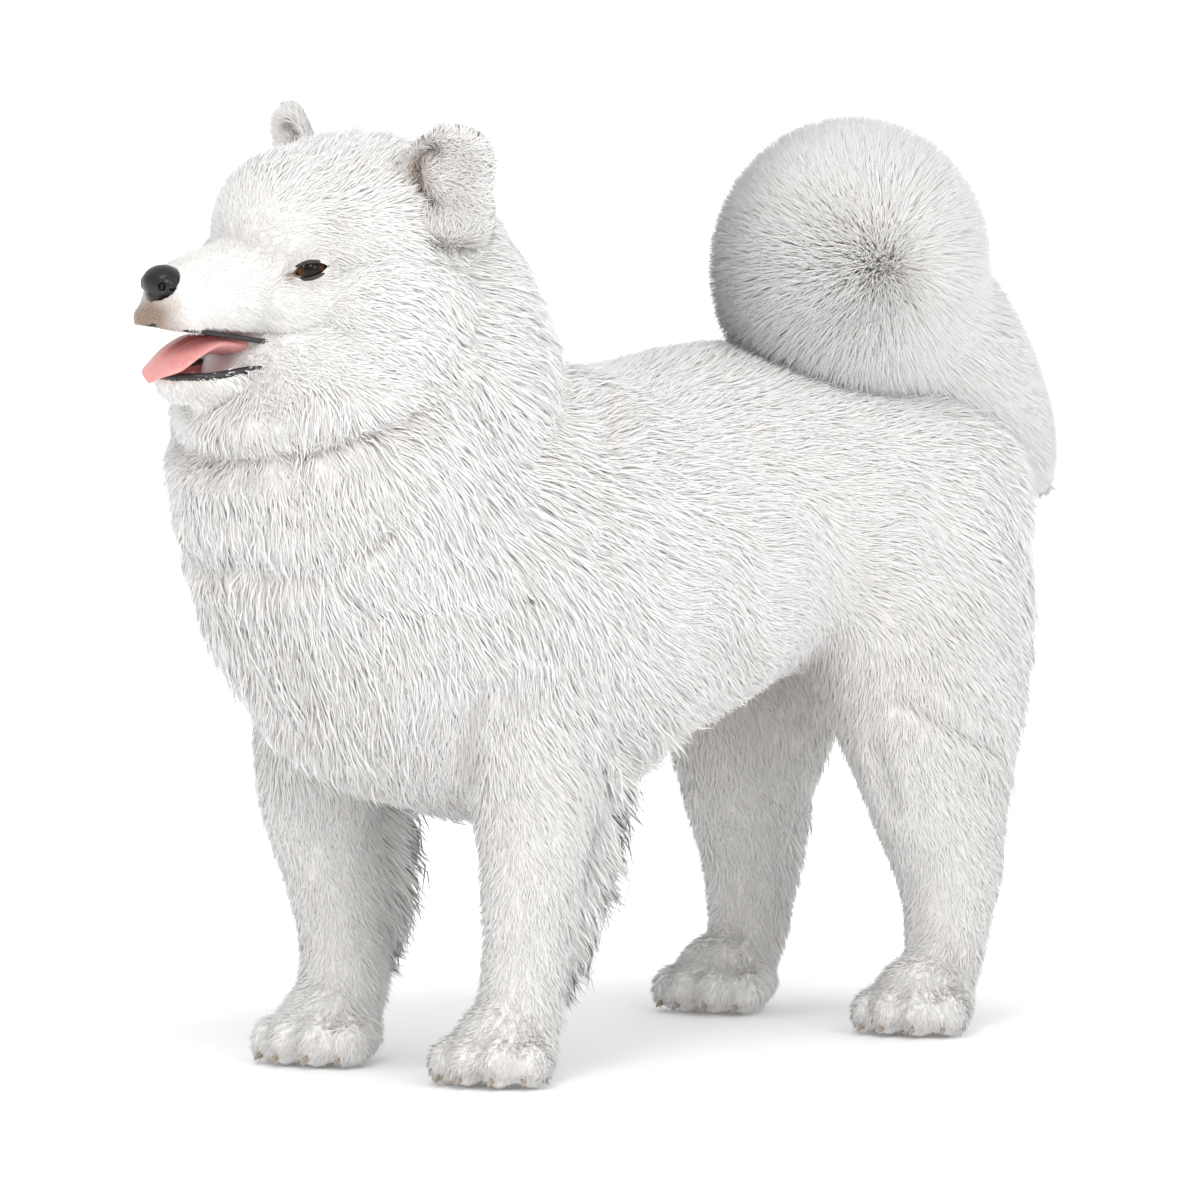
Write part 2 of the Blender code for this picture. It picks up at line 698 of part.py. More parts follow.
def lid_frame(tree, side):
    """The place of an eye: its middle, how it looks out, and the long axis of its opening."""
    x, d, z = EYE_PLACE
    outward = (HEAD.to_3x3() @ Vector((side * 0.72, -0.68, 0.05))).normalized()
    inside = head_point(side * x * 0.6, d - 0.03, z)
    spot, _ = first_hit(tree, inside + outward * 0.2, inside)
    middle = spot - outward * EYE_RADIUS * 0.74
    along = (HEAD.to_3x3() @ Vector((side * 0.62, 0.62, 0.30))).normalized()
    along = (along - outward * along.dot(outward)).normalized()
    return middle, outward, along


def eye_turn(outward, along):
    """A turn whose x runs along the opening and whose y looks out of it."""
    return Matrix((along, outward, along.cross(outward))).transposed().to_4x4()


def eyes_and_lids(head):
    """Fuses the lids to the head, opens them in an almond, and sets each eyeball in its socket."""
    tree = tree_of(head)
    for name, side in (("eye_left", 1), ("eye_right", -1)):
        middle, outward, along = lid_frame(tree, side)
        turn = eye_turn(outward, along)
        bm = bmesh.new()
        ellipsoid(bm, middle, (EYE_RADIUS + 0.0060, EYE_RADIUS + 0.0026, EYE_RADIUS + 0.0024), turn, sides=18)
        boolean(head, "UNION", new_object("lid", bm))
        bm = bmesh.new()
        opening = middle + outward * (EYE_RADIUS + 0.004)
        ellipsoid(bm, opening, (0.0168, 0.0155, 0.0074), turn, sides=16)
        boolean(head, "DIFFERENCE", new_object("opening", bm))
        bm = bmesh.new()
        ellipsoid(bm, middle, (EYE_RADIUS + GAP,) * 3, turn, sides=14)
        boolean(head, "DIFFERENCE", new_object("socket", bm))
        bm = bmesh.new()
        ellipsoid(bm, middle, (EYE_RADIUS,) * 3, turn, sides=14)
        finished(new_object(name, bm), name)
    keep_largest(head)


def nose_pad(head):
    """The nose: a rounded pad with two comma-shaped nostrils and a cleft below, set in the muzzle's end."""
    bm = bmesh.new()
    ellipsoid(bm, (0, -0.2035, -0.0310), (0.0185, 0.0175, 0.0145), sides=20)
    ellipsoid(bm, (0, -0.2015, -0.0385), (0.0110, 0.0175, 0.0105), sides=16)
    bmesh.ops.transform(bm, matrix=HEAD, verts=bm.verts)
    pad = new_object("nose", bm)
    melted(pad, 0.0012, 2, 190)
    boolean(head, "DIFFERENCE", grown(pad, "nose_room", 1.6 * GAP))
    for side in (-1, 1):
        bm = bmesh.new()
        ellipsoid(bm, (side * 0.0092, -0.2200, -0.0330), (0.0044, 0.0080, 0.0042), sides=12)
        ellipsoid(bm, (side * 0.0150, -0.2140, -0.0345), (0.0050, 0.0060, 0.0017), sides=12)
        bmesh.ops.transform(bm, matrix=HEAD, verts=bm.verts)
        cutter = new_object("nostril", bm)
        melted(cutter, 0.0006, 1, 56)
        boolean(pad, "DIFFERENCE", cutter)
    keep_largest(pad)
    return pad


def cleft(head):
    """The groove that runs down from the nose to the upper lip."""
    bm = bmesh.new()
    ellipsoid(bm, (0, -0.2400, -0.0600), (0.0011, 0.0140, 0.0170), sides=12)
    bmesh.ops.transform(bm, matrix=HEAD, verts=bm.verts)
    boolean(head, "DIFFERENCE", new_object("cleft", bm))


def lip_line(tree, level):
    """Points along the edge of the open mouth, from one corner round the front to the other."""
    found = []
    for side in (1, -1):
        half = []
        for d in (0.106, 0.122, 0.142, 0.162, 0.180, 0.194):
            z = level(d)
            spot, _ = first_hit(tree, head_point(side * 0.2, d, z), head_point(0, d, z))
            if spot is not None:
                half.append(spot)
        found.append(half)
    z = level(0.205)
    front = []
    for x in (0.018, 0.0, -0.018):
        spot, _ = first_hit(tree, head_point(x, 0.40, z), head_point(x, 0.0, z))
        if spot is not None:
            front.append(spot)
    return found[0] + front + found[1][::-1]


def mouth_edge(d, upward):
    """The height of the open mouth's upper or lower edge, so far ahead in the head's frame."""
    rows = np.array(MOUTH)
    middle = np.interp(d, rows[:, 1], rows[:, 2])
    half = np.interp(d, rows[:, 1], rows[:, 4])
    return float(middle + (half if upward else -half))


def open_mouth(head):
    """Cuts the mouth open and fuses a lip along each of its edges."""
    bm = bmesh.new()
    swept(bm, head_rows(MOUTH), cap=0.06)
    bmesh.ops.transform(bm, matrix=HEAD, verts=bm.verts)
    tree = tree_of(head)
    upper = lip_line(tree, lambda d: mouth_edge(d, True) + 0.0035)
    lower = lip_line(tree, lambda d: mouth_edge(d, False) - 0.0030)
    boolean(head, "DIFFERENCE", new_object("mouth", bm), ("MANIFOLD",))
    for points, radius in ((upper, 0.0040), (lower, 0.0042)):
        bm = bmesh.new()
        radii = [radius * (0.4 if i in (0, len(points) - 1) else 1.0) for i in range(len(points))]
        tube(bm, points, radii)
        boolean(head, "UNION", new_object("lip", bm), ("MANIFOLD",))
    bm = bmesh.new()
    swept(bm, head_rows(MOUTH_BED), sides=16, rings=12)
    bmesh.ops.transform(bm, matrix=HEAD, verts=bm.verts)
    boolean(head, "DIFFERENCE", new_object("bed", bm), ("MANIFOLD",))
    fused(head, FACE_VOXEL, 5)


def tongue(whole_head):
    bm = bmesh.new()
    swept(bm, head_rows(TONGUE), sides=12, rings=12, cap=0.16)
    bmesh.ops.transform(bm, matrix=HEAD, verts=bm.verts)
    obj = new_object("tongue", bm)
    boolean(obj, "DIFFERENCE", whole_head)
    keep_largest(obj)
    return obj


def ear(name, side, head):
    """A rounded, furred ear with a deep cup facing ahead and outward."""
    x, d, z = EAR_PLACE
    turn = (
        Matrix.Rotation(side * math.radians(EAR_TURN[name]), 4, "Z")
        @ Matrix.Rotation(side * math.radians(10), 4, "Y")
        @ Matrix.Rotation(math.radians(4), 4, "X")
    )
    place = HEAD @ Matrix.Translation((side * x, -d, z)) @ turn
    w, h, t = EAR_WIDTH, EAR_HEIGHT, EAR_THICKNESS
    bm = bmesh.new()
    swept(
        bm,
        [
            (0, 0.004, -0.030, 0.86 * w, 1.9 * t),
            (0, 0.002, 0.00, 0.96 * w, 1.5 * t),
            (0.001, 0.000, 0.30 * h, 1.00 * w, 1.2 * t),
            (0.003, 0.000, 0.58 * h, 0.94 * w, 0.95 * t),
            (0.006, -0.001, 0.80 * h, 0.76 * w, 0.8 * t),
            (0.008, -0.002, 0.95 * h, 0.44 * w, 0.5 * t),
        ],
        sides=12,
        rings=9,
    )
    bmesh.ops.transform(bm, matrix=place, verts=bm.verts)
    if side < 0:
        bmesh.ops.transform(bm, matrix=place @ MIRROR @ place.inverted(), verts=bm.verts)
    shell = new_object(name, bm)
    bm = bmesh.new()
    swept(
        bm,
        [
            (0, -1.2 * t, -0.004, 0.42 * w, 0.8 * t),
            (0, -1.1 * t, 0.22 * h, 0.66 * w, 1.15 * t),
            (0, -1.1 * t, 0.45 * h, 0.60 * w, 1.0 * t),
            (0, -1.1 * t, 0.68 * h, 0.34 * w, 0.7 * t),
            (0, -1.1 * t, 0.80 * h, 0.10 * w, 0.4 * t),
        ],
        sides=10,
        rings=8,
    )
    bmesh.ops.transform(bm, matrix=place, verts=bm.verts)
    boolean(shell, "DIFFERENCE", new_object("cup", bm))
    keep_largest(shell)
    boolean(shell, "DIFFERENCE", grown(head, "head_grown", GAP))
    keep_largest(shell)
    return shell


def tail_forms(share):
    """The tail: its bone curling up, over and down the left side, in a round plume that falls to the rear."""
    bm = bmesh.new()
    swept(bm, cored(TAIL_BONE, 0.0), sides=20, rings=36, cap=0.06)
    left = 1 - share
    ellipsoid(bm, TAIL_CENTRE, [half * left for half in PLUME], sides=28)
    fall = [(x, y, z, a * left, b * left) for x, y, z, a, b, _ in TAIL_FALL]
    swept(bm, fall, sides=24, rings=24, cap=0.10)
    return bm


MATERIALS = {
    "coat": ((0.86, 0.84, 0.80, 1.0), 0.9),
    "nose": ((0.012, 0.011, 0.012, 1.0), 0.35),
    "eye": ((0.035, 0.016, 0.008, 1.0), 0.12),
    "tongue": ((0.62, 0.27, 0.25, 1.0), 0.4),
}


def finished(obj, name, kind=None):
    """Names a body, gives it a colour, and puts it with the dog's parts."""
    kind = kind or ("eye" if name.startswith("eye") else name if name in MATERIALS else "coat")
    colour, roughness = MATERIALS[kind]
    material = bpy.data.materials.new(name)
    material.use_nodes = True
    shader = material.node_tree.nodes["Principled BSDF"]
    shader.inputs["Base Color"].default_value = colour
    shader.inputs["Roughness"].default_value = roughness
    obj.data.materials.clear()
    obj.data.materials.append(material)
    obj.color = colour
    obj.data.shade_smooth()
    obj.data.set_sharp_from_angle(angle=math.radians(40))
    obj.name = name
    HELPERS.objects.unlink(obj)
    SAMOYED.objects.link(obj)
    obj.hide_render = False
    obj.display_type = "TEXTURED"
    return obj


def parted(obj, name, cutter_of):
    """Takes the part of obj inside a cutter off as a body of its own, and leaves the gap between them."""
    piece = copy_of(obj, name)
    boolean(piece, "INTERSECT", cutter_of(0.0))
    keep_largest(piece)
    boolean(obj, "DIFFERENCE", cutter_of(GAP))
    keep_largest(obj)
    return piece


def outer_forms():
    """The outer form of the whole coat, out to its tips, to aim the locks at."""
    bm = body_forms(0.0)
    feather_forms(bm, 0.0)
    obj = new_object("outer", bm)
    fused(obj, 0.0080, 2)
    return tree_of(obj)


def grow_locks(pieces):
    """Gives the ruff and the plume their locks, node by node, each node clear of what is there before it."""
    trees = {name: [tree_of(obj)] for name, obj in pieces.items()}

    def grow(names, make, outer):
        for name in names:
            others = [tree for other, group in trees.items() if other != name for tree in group]
            locks = make(name, pieces[name], outer, others)
            for lock in locks:
                bm = lock.mesh()
                trees[name].append(BVHTree.FromBMesh(bm))
                bm.free()
            with_locks(pieces[name], locks)

    if "ruff" in LOCKED:
        legs = [name for name in pieces if name.startswith(("foreleg", "hindleg", "hock"))]
        grow(["neck", "torso", *legs], ruff_locks, outer_forms())
    if "tail" in LOCKED:
        plume = new_object("plume", tail_forms(0.0))
        fused(plume, 0.0080, 2)
        grow(["tail_curl", "tail_root"], tail_locks, tree_of(plume))


def build():
    share = CORE_SHARE if "ruff" in LOCKED else 0.0
    bm = body_forms(share)
    feather_forms(bm, share)
    body = new_object("torso", bm)
    melted(body, 0.0075, 3, BUDGET["body"])
    boolean(body, "DIFFERENCE", half_space("shoulder", *SHOULDER_CUT, GAP))
    keep_largest(body)

    pieces = {}
    for name, (low, high) in LEG_BOXES.items():
        leg = parted(body, name, lambda grow: block("part", low, high, grow))
        boolean(leg, "DIFFERENCE", block("paw_room", (-ROOM,) * 3, (ROOM, ROOM, PAW_HEIGHT), GAP))
        keep_largest(leg)
        if name.startswith("hind"):
            hock = parted(leg, name.replace("hindleg", "hock"),
                          lambda grow: block("part", (-ROOM,) * 3, (ROOM, ROOM, HOCK_HEIGHT), grow))
            pieces[hock.name] = hock
        pieces[name] = leg
    pieces["torso"] = body

    for name, (place, turn, size) in PAWS.items():
        foot = paw(name, place, turn, size)
        boolean(foot, "DIFFERENCE", floor_block())
        boolean(foot, "DIFFERENCE", block("leg_room", (-ROOM, -ROOM, PAW_HEIGHT), (ROOM,) * 3))
        keep_largest(foot)
        pieces[name] = foot

    bm = head_forms()
    add_neck(bm, share)
    swept(bm, cored(TORSO, share), sides=32, rings=32, cap=0.10)
    neck = new_object("neck", bm)
    fused(neck, 0.0040, 8)
    head = copy_of(neck, "head")
    boolean(neck, "INTERSECT", half_space("shoulder", *SHOULDER_CUT, MARGIN), ("MANIFOLD",))
    boolean(neck, "DIFFERENCE", half_space("throat", *THROAT_CUT, -MARGIN), ("MANIFOLD",))
    thinned(neck, BUDGET["neck"])
    boolean(neck, "INTERSECT", half_space("shoulder", *SHOULDER_CUT))
    boolean(neck, "DIFFERENCE", half_space("throat", *THROAT_CUT, GAP))
    keep_largest(neck)
    pieces["neck"] = neck

    boolean(head, "INTERSECT", half_space("throat", *THROAT_CUT, MARGIN), ("MANIFOLD",))
    open_mouth(head)
    thinned(head, BUDGET["head"])
    boolean(head, "INTERSECT", half_space("throat", *THROAT_CUT))
    keep_largest(head)
    pad = nose_pad(head)
    cleft(head)
    eyes_and_lids(head)
    pieces["ear_left"] = ear("ear_left", 1, head)
    pieces["ear_right"] = ear("ear_right", -1, head)
    whole_head = grown(head, "whole_head", GAP)
    pieces["lower_jaw"] = parted(head, "lower_jaw", jaw_box)
    pieces["head"] = head
    pieces["nose"] = pad
    pieces["tongue"] = tongue(whole_head)

    tail = new_object("tail", tail_forms(CORE_SHARE if "tail" in LOCKED else 0.0))
    melted(tail, 0.0045, 3, BUDGET["tail"])
    boolean(tail, "DIFFERENCE", grown(body, "torso_grown", GAP))
    keep_largest(tail)
    fall = ((0.0, 0.300, 0.680), (0.0, 0.75, -0.65))
    pieces["tail_root"] = parted(tail, "tail_root", lambda grow: half_space("part", *fall, grow))
    pieces["tail_curl"] = tail
    grow_locks(pieces)

    for name, obj in pieces.items():
        finished(obj, name)
    for helper in list(HELPERS.objects):
        remove(helper)
    for obj in SAMOYED.objects:
        obj.data.transform(Matrix.Translation(STANCE_SHIFT))


def jaw_box(grow):
    """The space of the lower jaw, from the corners of the mouth ahead and down."""
    cutter = block("jaw_room", (-0.3, -0.4, -0.4), (0.3, -0.104, -0.095), grow)
    cutter.data.transform(HEAD)
    return cutter


build()
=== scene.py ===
# The samoyed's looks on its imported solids: skins, a coat of mesh tufts, eyes, nose, lips, tongue and claws.
import math

import bpy
import numpy as np
from mathutils import Matrix, Vector
from mathutils.bvhtree import BVHTree
from mathutils.kdtree import KDTree


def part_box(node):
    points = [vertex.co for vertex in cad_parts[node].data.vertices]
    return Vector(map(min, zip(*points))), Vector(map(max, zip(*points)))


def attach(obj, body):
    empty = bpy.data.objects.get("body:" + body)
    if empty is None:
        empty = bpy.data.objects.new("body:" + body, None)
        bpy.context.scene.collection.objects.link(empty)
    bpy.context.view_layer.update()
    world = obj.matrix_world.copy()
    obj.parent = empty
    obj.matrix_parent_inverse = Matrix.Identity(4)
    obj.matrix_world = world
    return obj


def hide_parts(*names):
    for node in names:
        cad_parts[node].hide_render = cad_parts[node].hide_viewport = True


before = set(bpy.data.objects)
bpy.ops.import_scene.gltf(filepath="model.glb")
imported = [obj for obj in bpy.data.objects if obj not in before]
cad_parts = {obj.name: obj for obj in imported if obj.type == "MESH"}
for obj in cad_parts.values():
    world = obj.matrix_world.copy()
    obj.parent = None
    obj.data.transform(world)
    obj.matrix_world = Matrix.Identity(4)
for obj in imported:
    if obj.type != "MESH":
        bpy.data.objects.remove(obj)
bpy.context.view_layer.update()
print("frame loaded", len(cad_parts), "nodes")

# pieces are made where the dog's middle is, then moved by this
stanceShift = Vector((-0.005, 0.024, 0.0))
headMatrix = (
    Matrix.Translation((0.0, -0.335, 0.745))
    @ Matrix.Rotation(math.radians(-8), 4, "Z")
    @ Matrix.Rotation(math.radians(2), 4, "Y")
)
pieces = []


# camera, floor and soft light first
viewing = {
    "azimuth": 44, "distance": 14.8, "height": 1.84, "lens": 500, "sensor": 36,
    "target": (-0.0161, 0.0133, 0.4015),
    "backdrop": 1.1, "world": 0.95, "key": 92, "fill": 44, "floorGlow": 0.5,
}


def pointAt(obj, target):
    obj.rotation_euler = (Vector(target) - obj.location).to_track_quat("-Z", "Y").to_euler()


def addLight(name, place, size, power, colour=(1, 1, 1)):
    bpy.ops.object.light_add(type="AREA", location=place)
    light = bpy.context.object
    light.name = name
    light.data.shape = "DISK"
    light.data.size = size
    light.data.energy = power
    light.data.color = colour
    pointAt(light, (0, 0, 0.4))
    return light


def setStage():
    angle = math.radians(viewing["azimuth"])
    ahead = Vector((math.sin(angle), -math.cos(angle), 0))
    target = Vector(viewing["target"])
    place = target + ahead * viewing["distance"]
    place.z = viewing["height"]
    bpy.ops.object.camera_add(location=place)
    camera = bpy.context.object
    camera.name = "photoCamera"
    camera.data.lens = viewing["lens"]
    camera.data.sensor_width = viewing["sensor"]
    pointAt(camera, target)
    bpy.context.scene.camera = camera

    bpy.ops.mesh.primitive_plane_add(size=60, location=(0, 0, 0))
    floor = bpy.context.object
    floor.name = "floor"
    material, tree, shader = newMaterial("paleFloor", (0.93, 0.93, 0.93), 0.8)
    # the floor glows, painted light that is faint near the dog and white away from it, so that only the
    # shadows at its paws show
    where = tree.nodes.new("ShaderNodeTexCoord")
    reach = tree.nodes.new("ShaderNodeVectorMath")
    reach.operation = "LENGTH"
    tree.links.new(where.outputs["Object"], reach.inputs[0])
    paintedFloorGlow = mixNode(tree, rangeNode(tree, reach.outputs["Value"], 0.4, 1.0, 0.0, 1.0), (0.12, 0.12, 0.12),
        (1.0, 1.0, 1.0))
    tree.links.new(paintedFloorGlow, shader.inputs["Emission Color"])
    shader.inputs["Emission Strength"].default_value = viewing["floorGlow"]
    floor.data.materials.append(material)

    world = bpy.data.worlds.new("softRoom")
    bpy.context.scene.world = world
    world.use_nodes = True
    # the backdrop is white, and the room's own light on the dog is softer
    tree = world.node_tree
    room = tree.nodes["Background"]
    room.inputs["Color"].default_value = (0.985, 0.99, 1.0, 1)
    room.inputs["Strength"].default_value = viewing["world"]
    backdrop = tree.nodes.new("ShaderNodeBackground")
    backdrop.inputs["Color"].default_value = (1, 1, 1, 1)
    backdrop.inputs["Strength"].default_value = viewing["backdrop"]
    rays = tree.nodes.new("ShaderNodeLightPath")
    either = tree.nodes.new("ShaderNodeMixShader")
    tree.links.new(rays.outputs["Is Camera Ray"], either.inputs["Fac"])
    tree.links.new(room.outputs["Background"], either.inputs[1])
    tree.links.new(backdrop.outputs["Background"], either.inputs[2])
    tree.links.new(either.outputs["Shader"], tree.nodes["World Output"].inputs["Surface"])
    bpy.context.scene.view_settings.view_transform = "Standard"
    addLight("keyLight", (1.9, -3.0, 4.4), 2.4, viewing["key"], (1.0, 0.99, 0.98))
    addLight("fillLight", (3.9, -0.6, 2.6), 2.6, viewing["fill"], (0.98, 0.99, 1.0))


# materials
def newMaterial(name, colour, roughness):
    material = bpy.data.materials.new(name)
    material.use_nodes = True
    tree = material.node_tree
    shader = tree.nodes["Principled BSDF"]
    shader.inputs["Base Color"].default_value = (*colour, 1)
    shader.inputs["Roughness"].default_value = roughness
    return material, tree, shader


def noiseNode(tree, scale, detail=3.0, roughness=0.5):
    where = tree.nodes.new("ShaderNodeTexCoord")
    noise = tree.nodes.new("ShaderNodeTexNoise")
    noise.inputs["Scale"].default_value = scale
    noise.inputs["Detail"].default_value = detail
    noise.inputs["Roughness"].default_value = roughness
    tree.links.new(where.outputs["Object"], noise.inputs["Vector"])
    return noise


def mixNode(tree, share, first, second, blend="MIX"):
    mix = tree.nodes.new("ShaderNodeMix")
    mix.data_type = "RGBA"
    mix.blend_type = blend
    for socket, value in ((mix.inputs[0], share), (mix.inputs[6], first), (mix.inputs[7], second)):
        if isinstance(value, bpy.types.NodeSocket):
            tree.links.new(value, socket)
        else:
            socket.default_value = value if isinstance(value, (int, float)) else (*value, 1)
    return mix.outputs[2]


def rangeNode(tree, value, low, high, newLow, newHigh):
    node = tree.nodes.new("ShaderNodeMapRange")
    for name, number in (("From Min", low), ("From Max", high), ("To Min", newLow), ("To Max", newHigh)):
        node.inputs[name].default_value = number
    tree.links.new(value, node.inputs["Value"])
    return node.outputs["Result"]


def bumpNode(tree, shader, height, strength, distance):
    bump = tree.nodes.new("ShaderNodeBump")
    bump.inputs["Strength"].default_value = strength
    bump.inputs["Distance"].default_value = distance
    tree.links.new(height, bump.inputs["Height"])
    tree.links.new(bump.outputs["Normal"], shader.inputs["Normal"])


def toneChannels(tree):
    attribute = tree.nodes.new("ShaderNodeAttribute")
    # x runs from root to tip, y is a darker, warmer tint, much of it painted shade in hollows and folds, z
    # differs from tuft to tuft
    attribute.attribute_name = "coatTone"
    split = tree.nodes.new("ShaderNodeSeparateXYZ")
    tree.links.new(attribute.outputs["Vector"], split.inputs["Vector"])
    return split.outputs["X"], split.outputs["Y"], split.outputs["Z"]


coatLook = {
    "root": (0.84, 0.815, 0.78), "tip": (0.955, 0.952, 0.948), "warm": (0.27, 0.185, 0.125),
    "dim": (0.86, 0.85, 0.835),
    "roughness": 0.6, "sheen": 0.15,
}


def coatMaterial():
    material, tree, shader = newMaterial("whiteCoat", coatLook["tip"], coatLook["roughness"])
    along, tintAndShade, tuft = toneChannels(tree)
    # the tufts are darker and creamier towards the root: partly the undercoat's own cream, partly painted
    # shade deep in the coat
    colour = mixNode(tree, rangeNode(tree, along, 0.0, 0.75, 0.0, 1.0), coatLook["root"], coatLook["tip"])
    colour = mixNode(tree, rangeNode(tree, tuft, 0.0, 1.0, 0.0, 0.8), colour, coatLook["dim"], "MULTIPLY")
    patches = noiseNode(tree, 9.0, 2.0)
    colour = mixNode(tree, rangeNode(tree, patches.outputs["Fac"], 0.45, 0.75, 0.0, 0.35), colour,
        (0.95, 0.93, 0.90), "MULTIPLY")
    fibres = noiseNode(tree, 650, 2.0, 0.6)
    colour = mixNode(tree, rangeNode(tree, fibres.outputs["Fac"], 0.35, 0.65, 0.0, 0.4), colour,
        coatLook["dim"], "MULTIPLY")
    # tinted darker and warmer by the y channel: round the face, and painted shade in hollows and folds
    colour = mixNode(tree, tintAndShade, colour, coatLook["warm"])
    tree.links.new(colour, shader.inputs["Base Color"])
    shader.inputs["Sheen Weight"].default_value = coatLook["sheen"]
    shader.inputs["Specular IOR Level"].default_value = 0.25
    return material


skinLook = {"colour": (0.89, 0.875, 0.855), "grain": (0.80, 0.775, 0.745), "warm": (0.235, 0.16, 0.115),
    "roughness": 0.65}


def skinMaterial():
    material, tree, shader = newMaterial("paleSkin", skinLook["colour"], skinLook["roughness"])
    _, tintAndShade, _ = toneChannels(tree)
    grain = noiseNode(tree, 420, 4.0)
    colour = mixNode(tree, rangeNode(tree, grain.outputs["Fac"], 0.35, 0.7, 0.0, 0.5), skinLook["colour"],
        skinLook["grain"])
    # tinted darker and warmer by the y channel: round the face, and painted shade in hollows and folds
    colour = mixNode(tree, tintAndShade, colour, skinLook["warm"])
    tree.links.new(colour, shader.inputs["Base Color"])
    bumpNode(tree, shader, grain.outputs["Fac"], 0.6, 0.0012)
    return material


def flatMaterial(name, colour, other, scale, roughness, bump, coat=0.0, subsurface=0.0):
    material, tree, shader = newMaterial(name, colour, roughness)
    grain = noiseNode(tree, scale, 4.0, 0.6)
    tree.links.new(mixNode(tree, rangeNode(tree, grain.outputs["Fac"], 0.3, 0.7, 0.0, 1.0), colour, other),
        shader.inputs["Base Color"])
    bumpNode(tree, shader, grain.outputs["Fac"], bump, 0.0008)
    shader.inputs["Coat Weight"].default_value = coat
    shader.inputs["Coat Roughness"].default_value = 0.12
    shader.inputs["Subsurface Weight"].default_value = subsurface
    shader.inputs["Subsurface Radius"].default_value = (0.006, 0.002, 0.001)
    return material


def noseMaterial():
    material, tree, shader = newMaterial("noseLeather", (0.018, 0.018, 0.020), 0.34)
    where = tree.nodes.new("ShaderNodeTexCoord")
    cells = tree.nodes.new("ShaderNodeTexVoronoi")
    cells.inputs["Scale"].default_value = 620
    tree.links.new(where.outputs["Object"], cells.inputs["Vector"])
    tone = mixNode(tree, rangeNode(tree, cells.outputs["Distance"], 0.0, 0.7, 0.0, 1.0),
        (0.012, 0.0115, 0.0125), (0.004, 0.004, 0.0045))
    tree.links.new(tone, shader.inputs["Base Color"])
    bumpNode(tree, shader, cells.outputs["Distance"], 0.35, -0.0005)
    shader.inputs["Specular IOR Level"].default_value = 0.35
    shader.inputs["Coat Weight"].default_value = 0.12
    shader.inputs["Coat Roughness"].default_value = 0.2
    return material


def eyeMaterial():
    material, tree, shader = newMaterial("eye", (0.02, 0.01, 0.006), 0.05)
    shader.inputs["Specular IOR Level"].default_value = 0.22
    away, _, _ = toneChannels(tree)
    ramp = tree.nodes.new("ShaderNodeValToRGB")
    stops = [(0.0, (0.003, 0.002, 0.002)), (0.36, (0.004, 0.003, 0.002)), (0.42, (0.030, 0.012, 0.006)),
             (0.56, (0.060, 0.024, 0.009)), (0.66, (0.15, 0.065, 0.020)), (0.84, (0.13, 0.065, 0.030)),
             (1.0, (0.05, 0.025, 0.015))]
    elements = ramp.color_ramp.elements
    elements[0].position, elements[0].color = stops[0][0], (*stops[0][1], 1)
    elements[1].position, elements[1].color = stops[-1][0], (*stops[-1][1], 1)
    for position, colour in stops[1:-1]:
        elements.new(position).color = (*colour, 1)
    tree.links.new(away, ramp.inputs["Fac"])
    fibres = noiseNode(tree, 900, 2.0)
    tree.links.new(mixNode(tree, rangeNode(tree, fibres.outputs["Fac"], 0.35, 0.7, 0.0, 0.4),
        ramp.outputs["Color"], (0.01, 0.005, 0.003)),
                   shader.inputs["Base Color"])
    return material


setStage()
coatWhite = coatMaterial()
skinPale = skinMaterial()
darkLip = flatMaterial("lipSkin", (0.010, 0.009, 0.010), (0.022, 0.018, 0.018), 300, 0.42, 0.35, coat=0.08)
mouthPink = flatMaterial("mouthLining", (0.52, 0.17, 0.16), (0.36, 0.085, 0.085), 120, 0.34, 0.3, coat=0.4,
    subsurface=0.2)
tonguePink = flatMaterial("tongue", (0.72, 0.33, 0.31), (0.62, 0.25, 0.24), 260, 0.42, 0.6, coat=0.25,
    subsurface=0.25)
clawHorn = flatMaterial("claw", (0.42, 0.35, 0.28), (0.28, 0.22, 0.17), 150, 0.4, 0.2)
noseBlack = noseMaterial()
eyeBrown = eyeMaterial()
print("materials and stage ready")


# forms
def deselect():
    bpy.ops.object.select_all(action="DESELECT")


def coordinates(mesh):
    values = np.empty(3 * len(mesh.vertices))
    mesh.vertices.foreach_get("co", values)
    return values.reshape(-1, 3)


def unit(vectors):
    return vectors / np.maximum(np.linalg.norm(vectors, axis=-1, keepdims=True), 1e-12)


def alongRows(rows, t):
    rows = np.asarray(rows, float)
    steps = np.linalg.norm(np.diff(rows[:, :3], axis=0), axis=1)
    knots = np.concatenate([[0.0], np.cumsum(steps)]) / steps.sum()
    slopes = np.empty_like(rows)
    slopes[1:-1] = (rows[2:] - rows[:-2]) / (knots[2:] - knots[:-2])[:, None]
    slopes[0] = (rows[1] - rows[0]) / (knots[1] - knots[0])
    slopes[-1] = (rows[-1] - rows[-2]) / (knots[-1] - knots[-2])
    k = np.clip(np.searchsorted(knots, t, side="right") - 1, 0, len(rows) - 2)
    span = (knots[k + 1] - knots[k])[:, None]
    u = (t - knots[k])[:, None] / span
    return (
        (2 * u**3 - 3 * u**2 + 1) * rows[k]
        + (u**3 - 2 * u**2 + u) * span * slopes[k]
        + (3 * u**2 - 2 * u**3) * rows[k + 1]
        + (u**3 - u**2) * span * slopes[k + 1]
    )


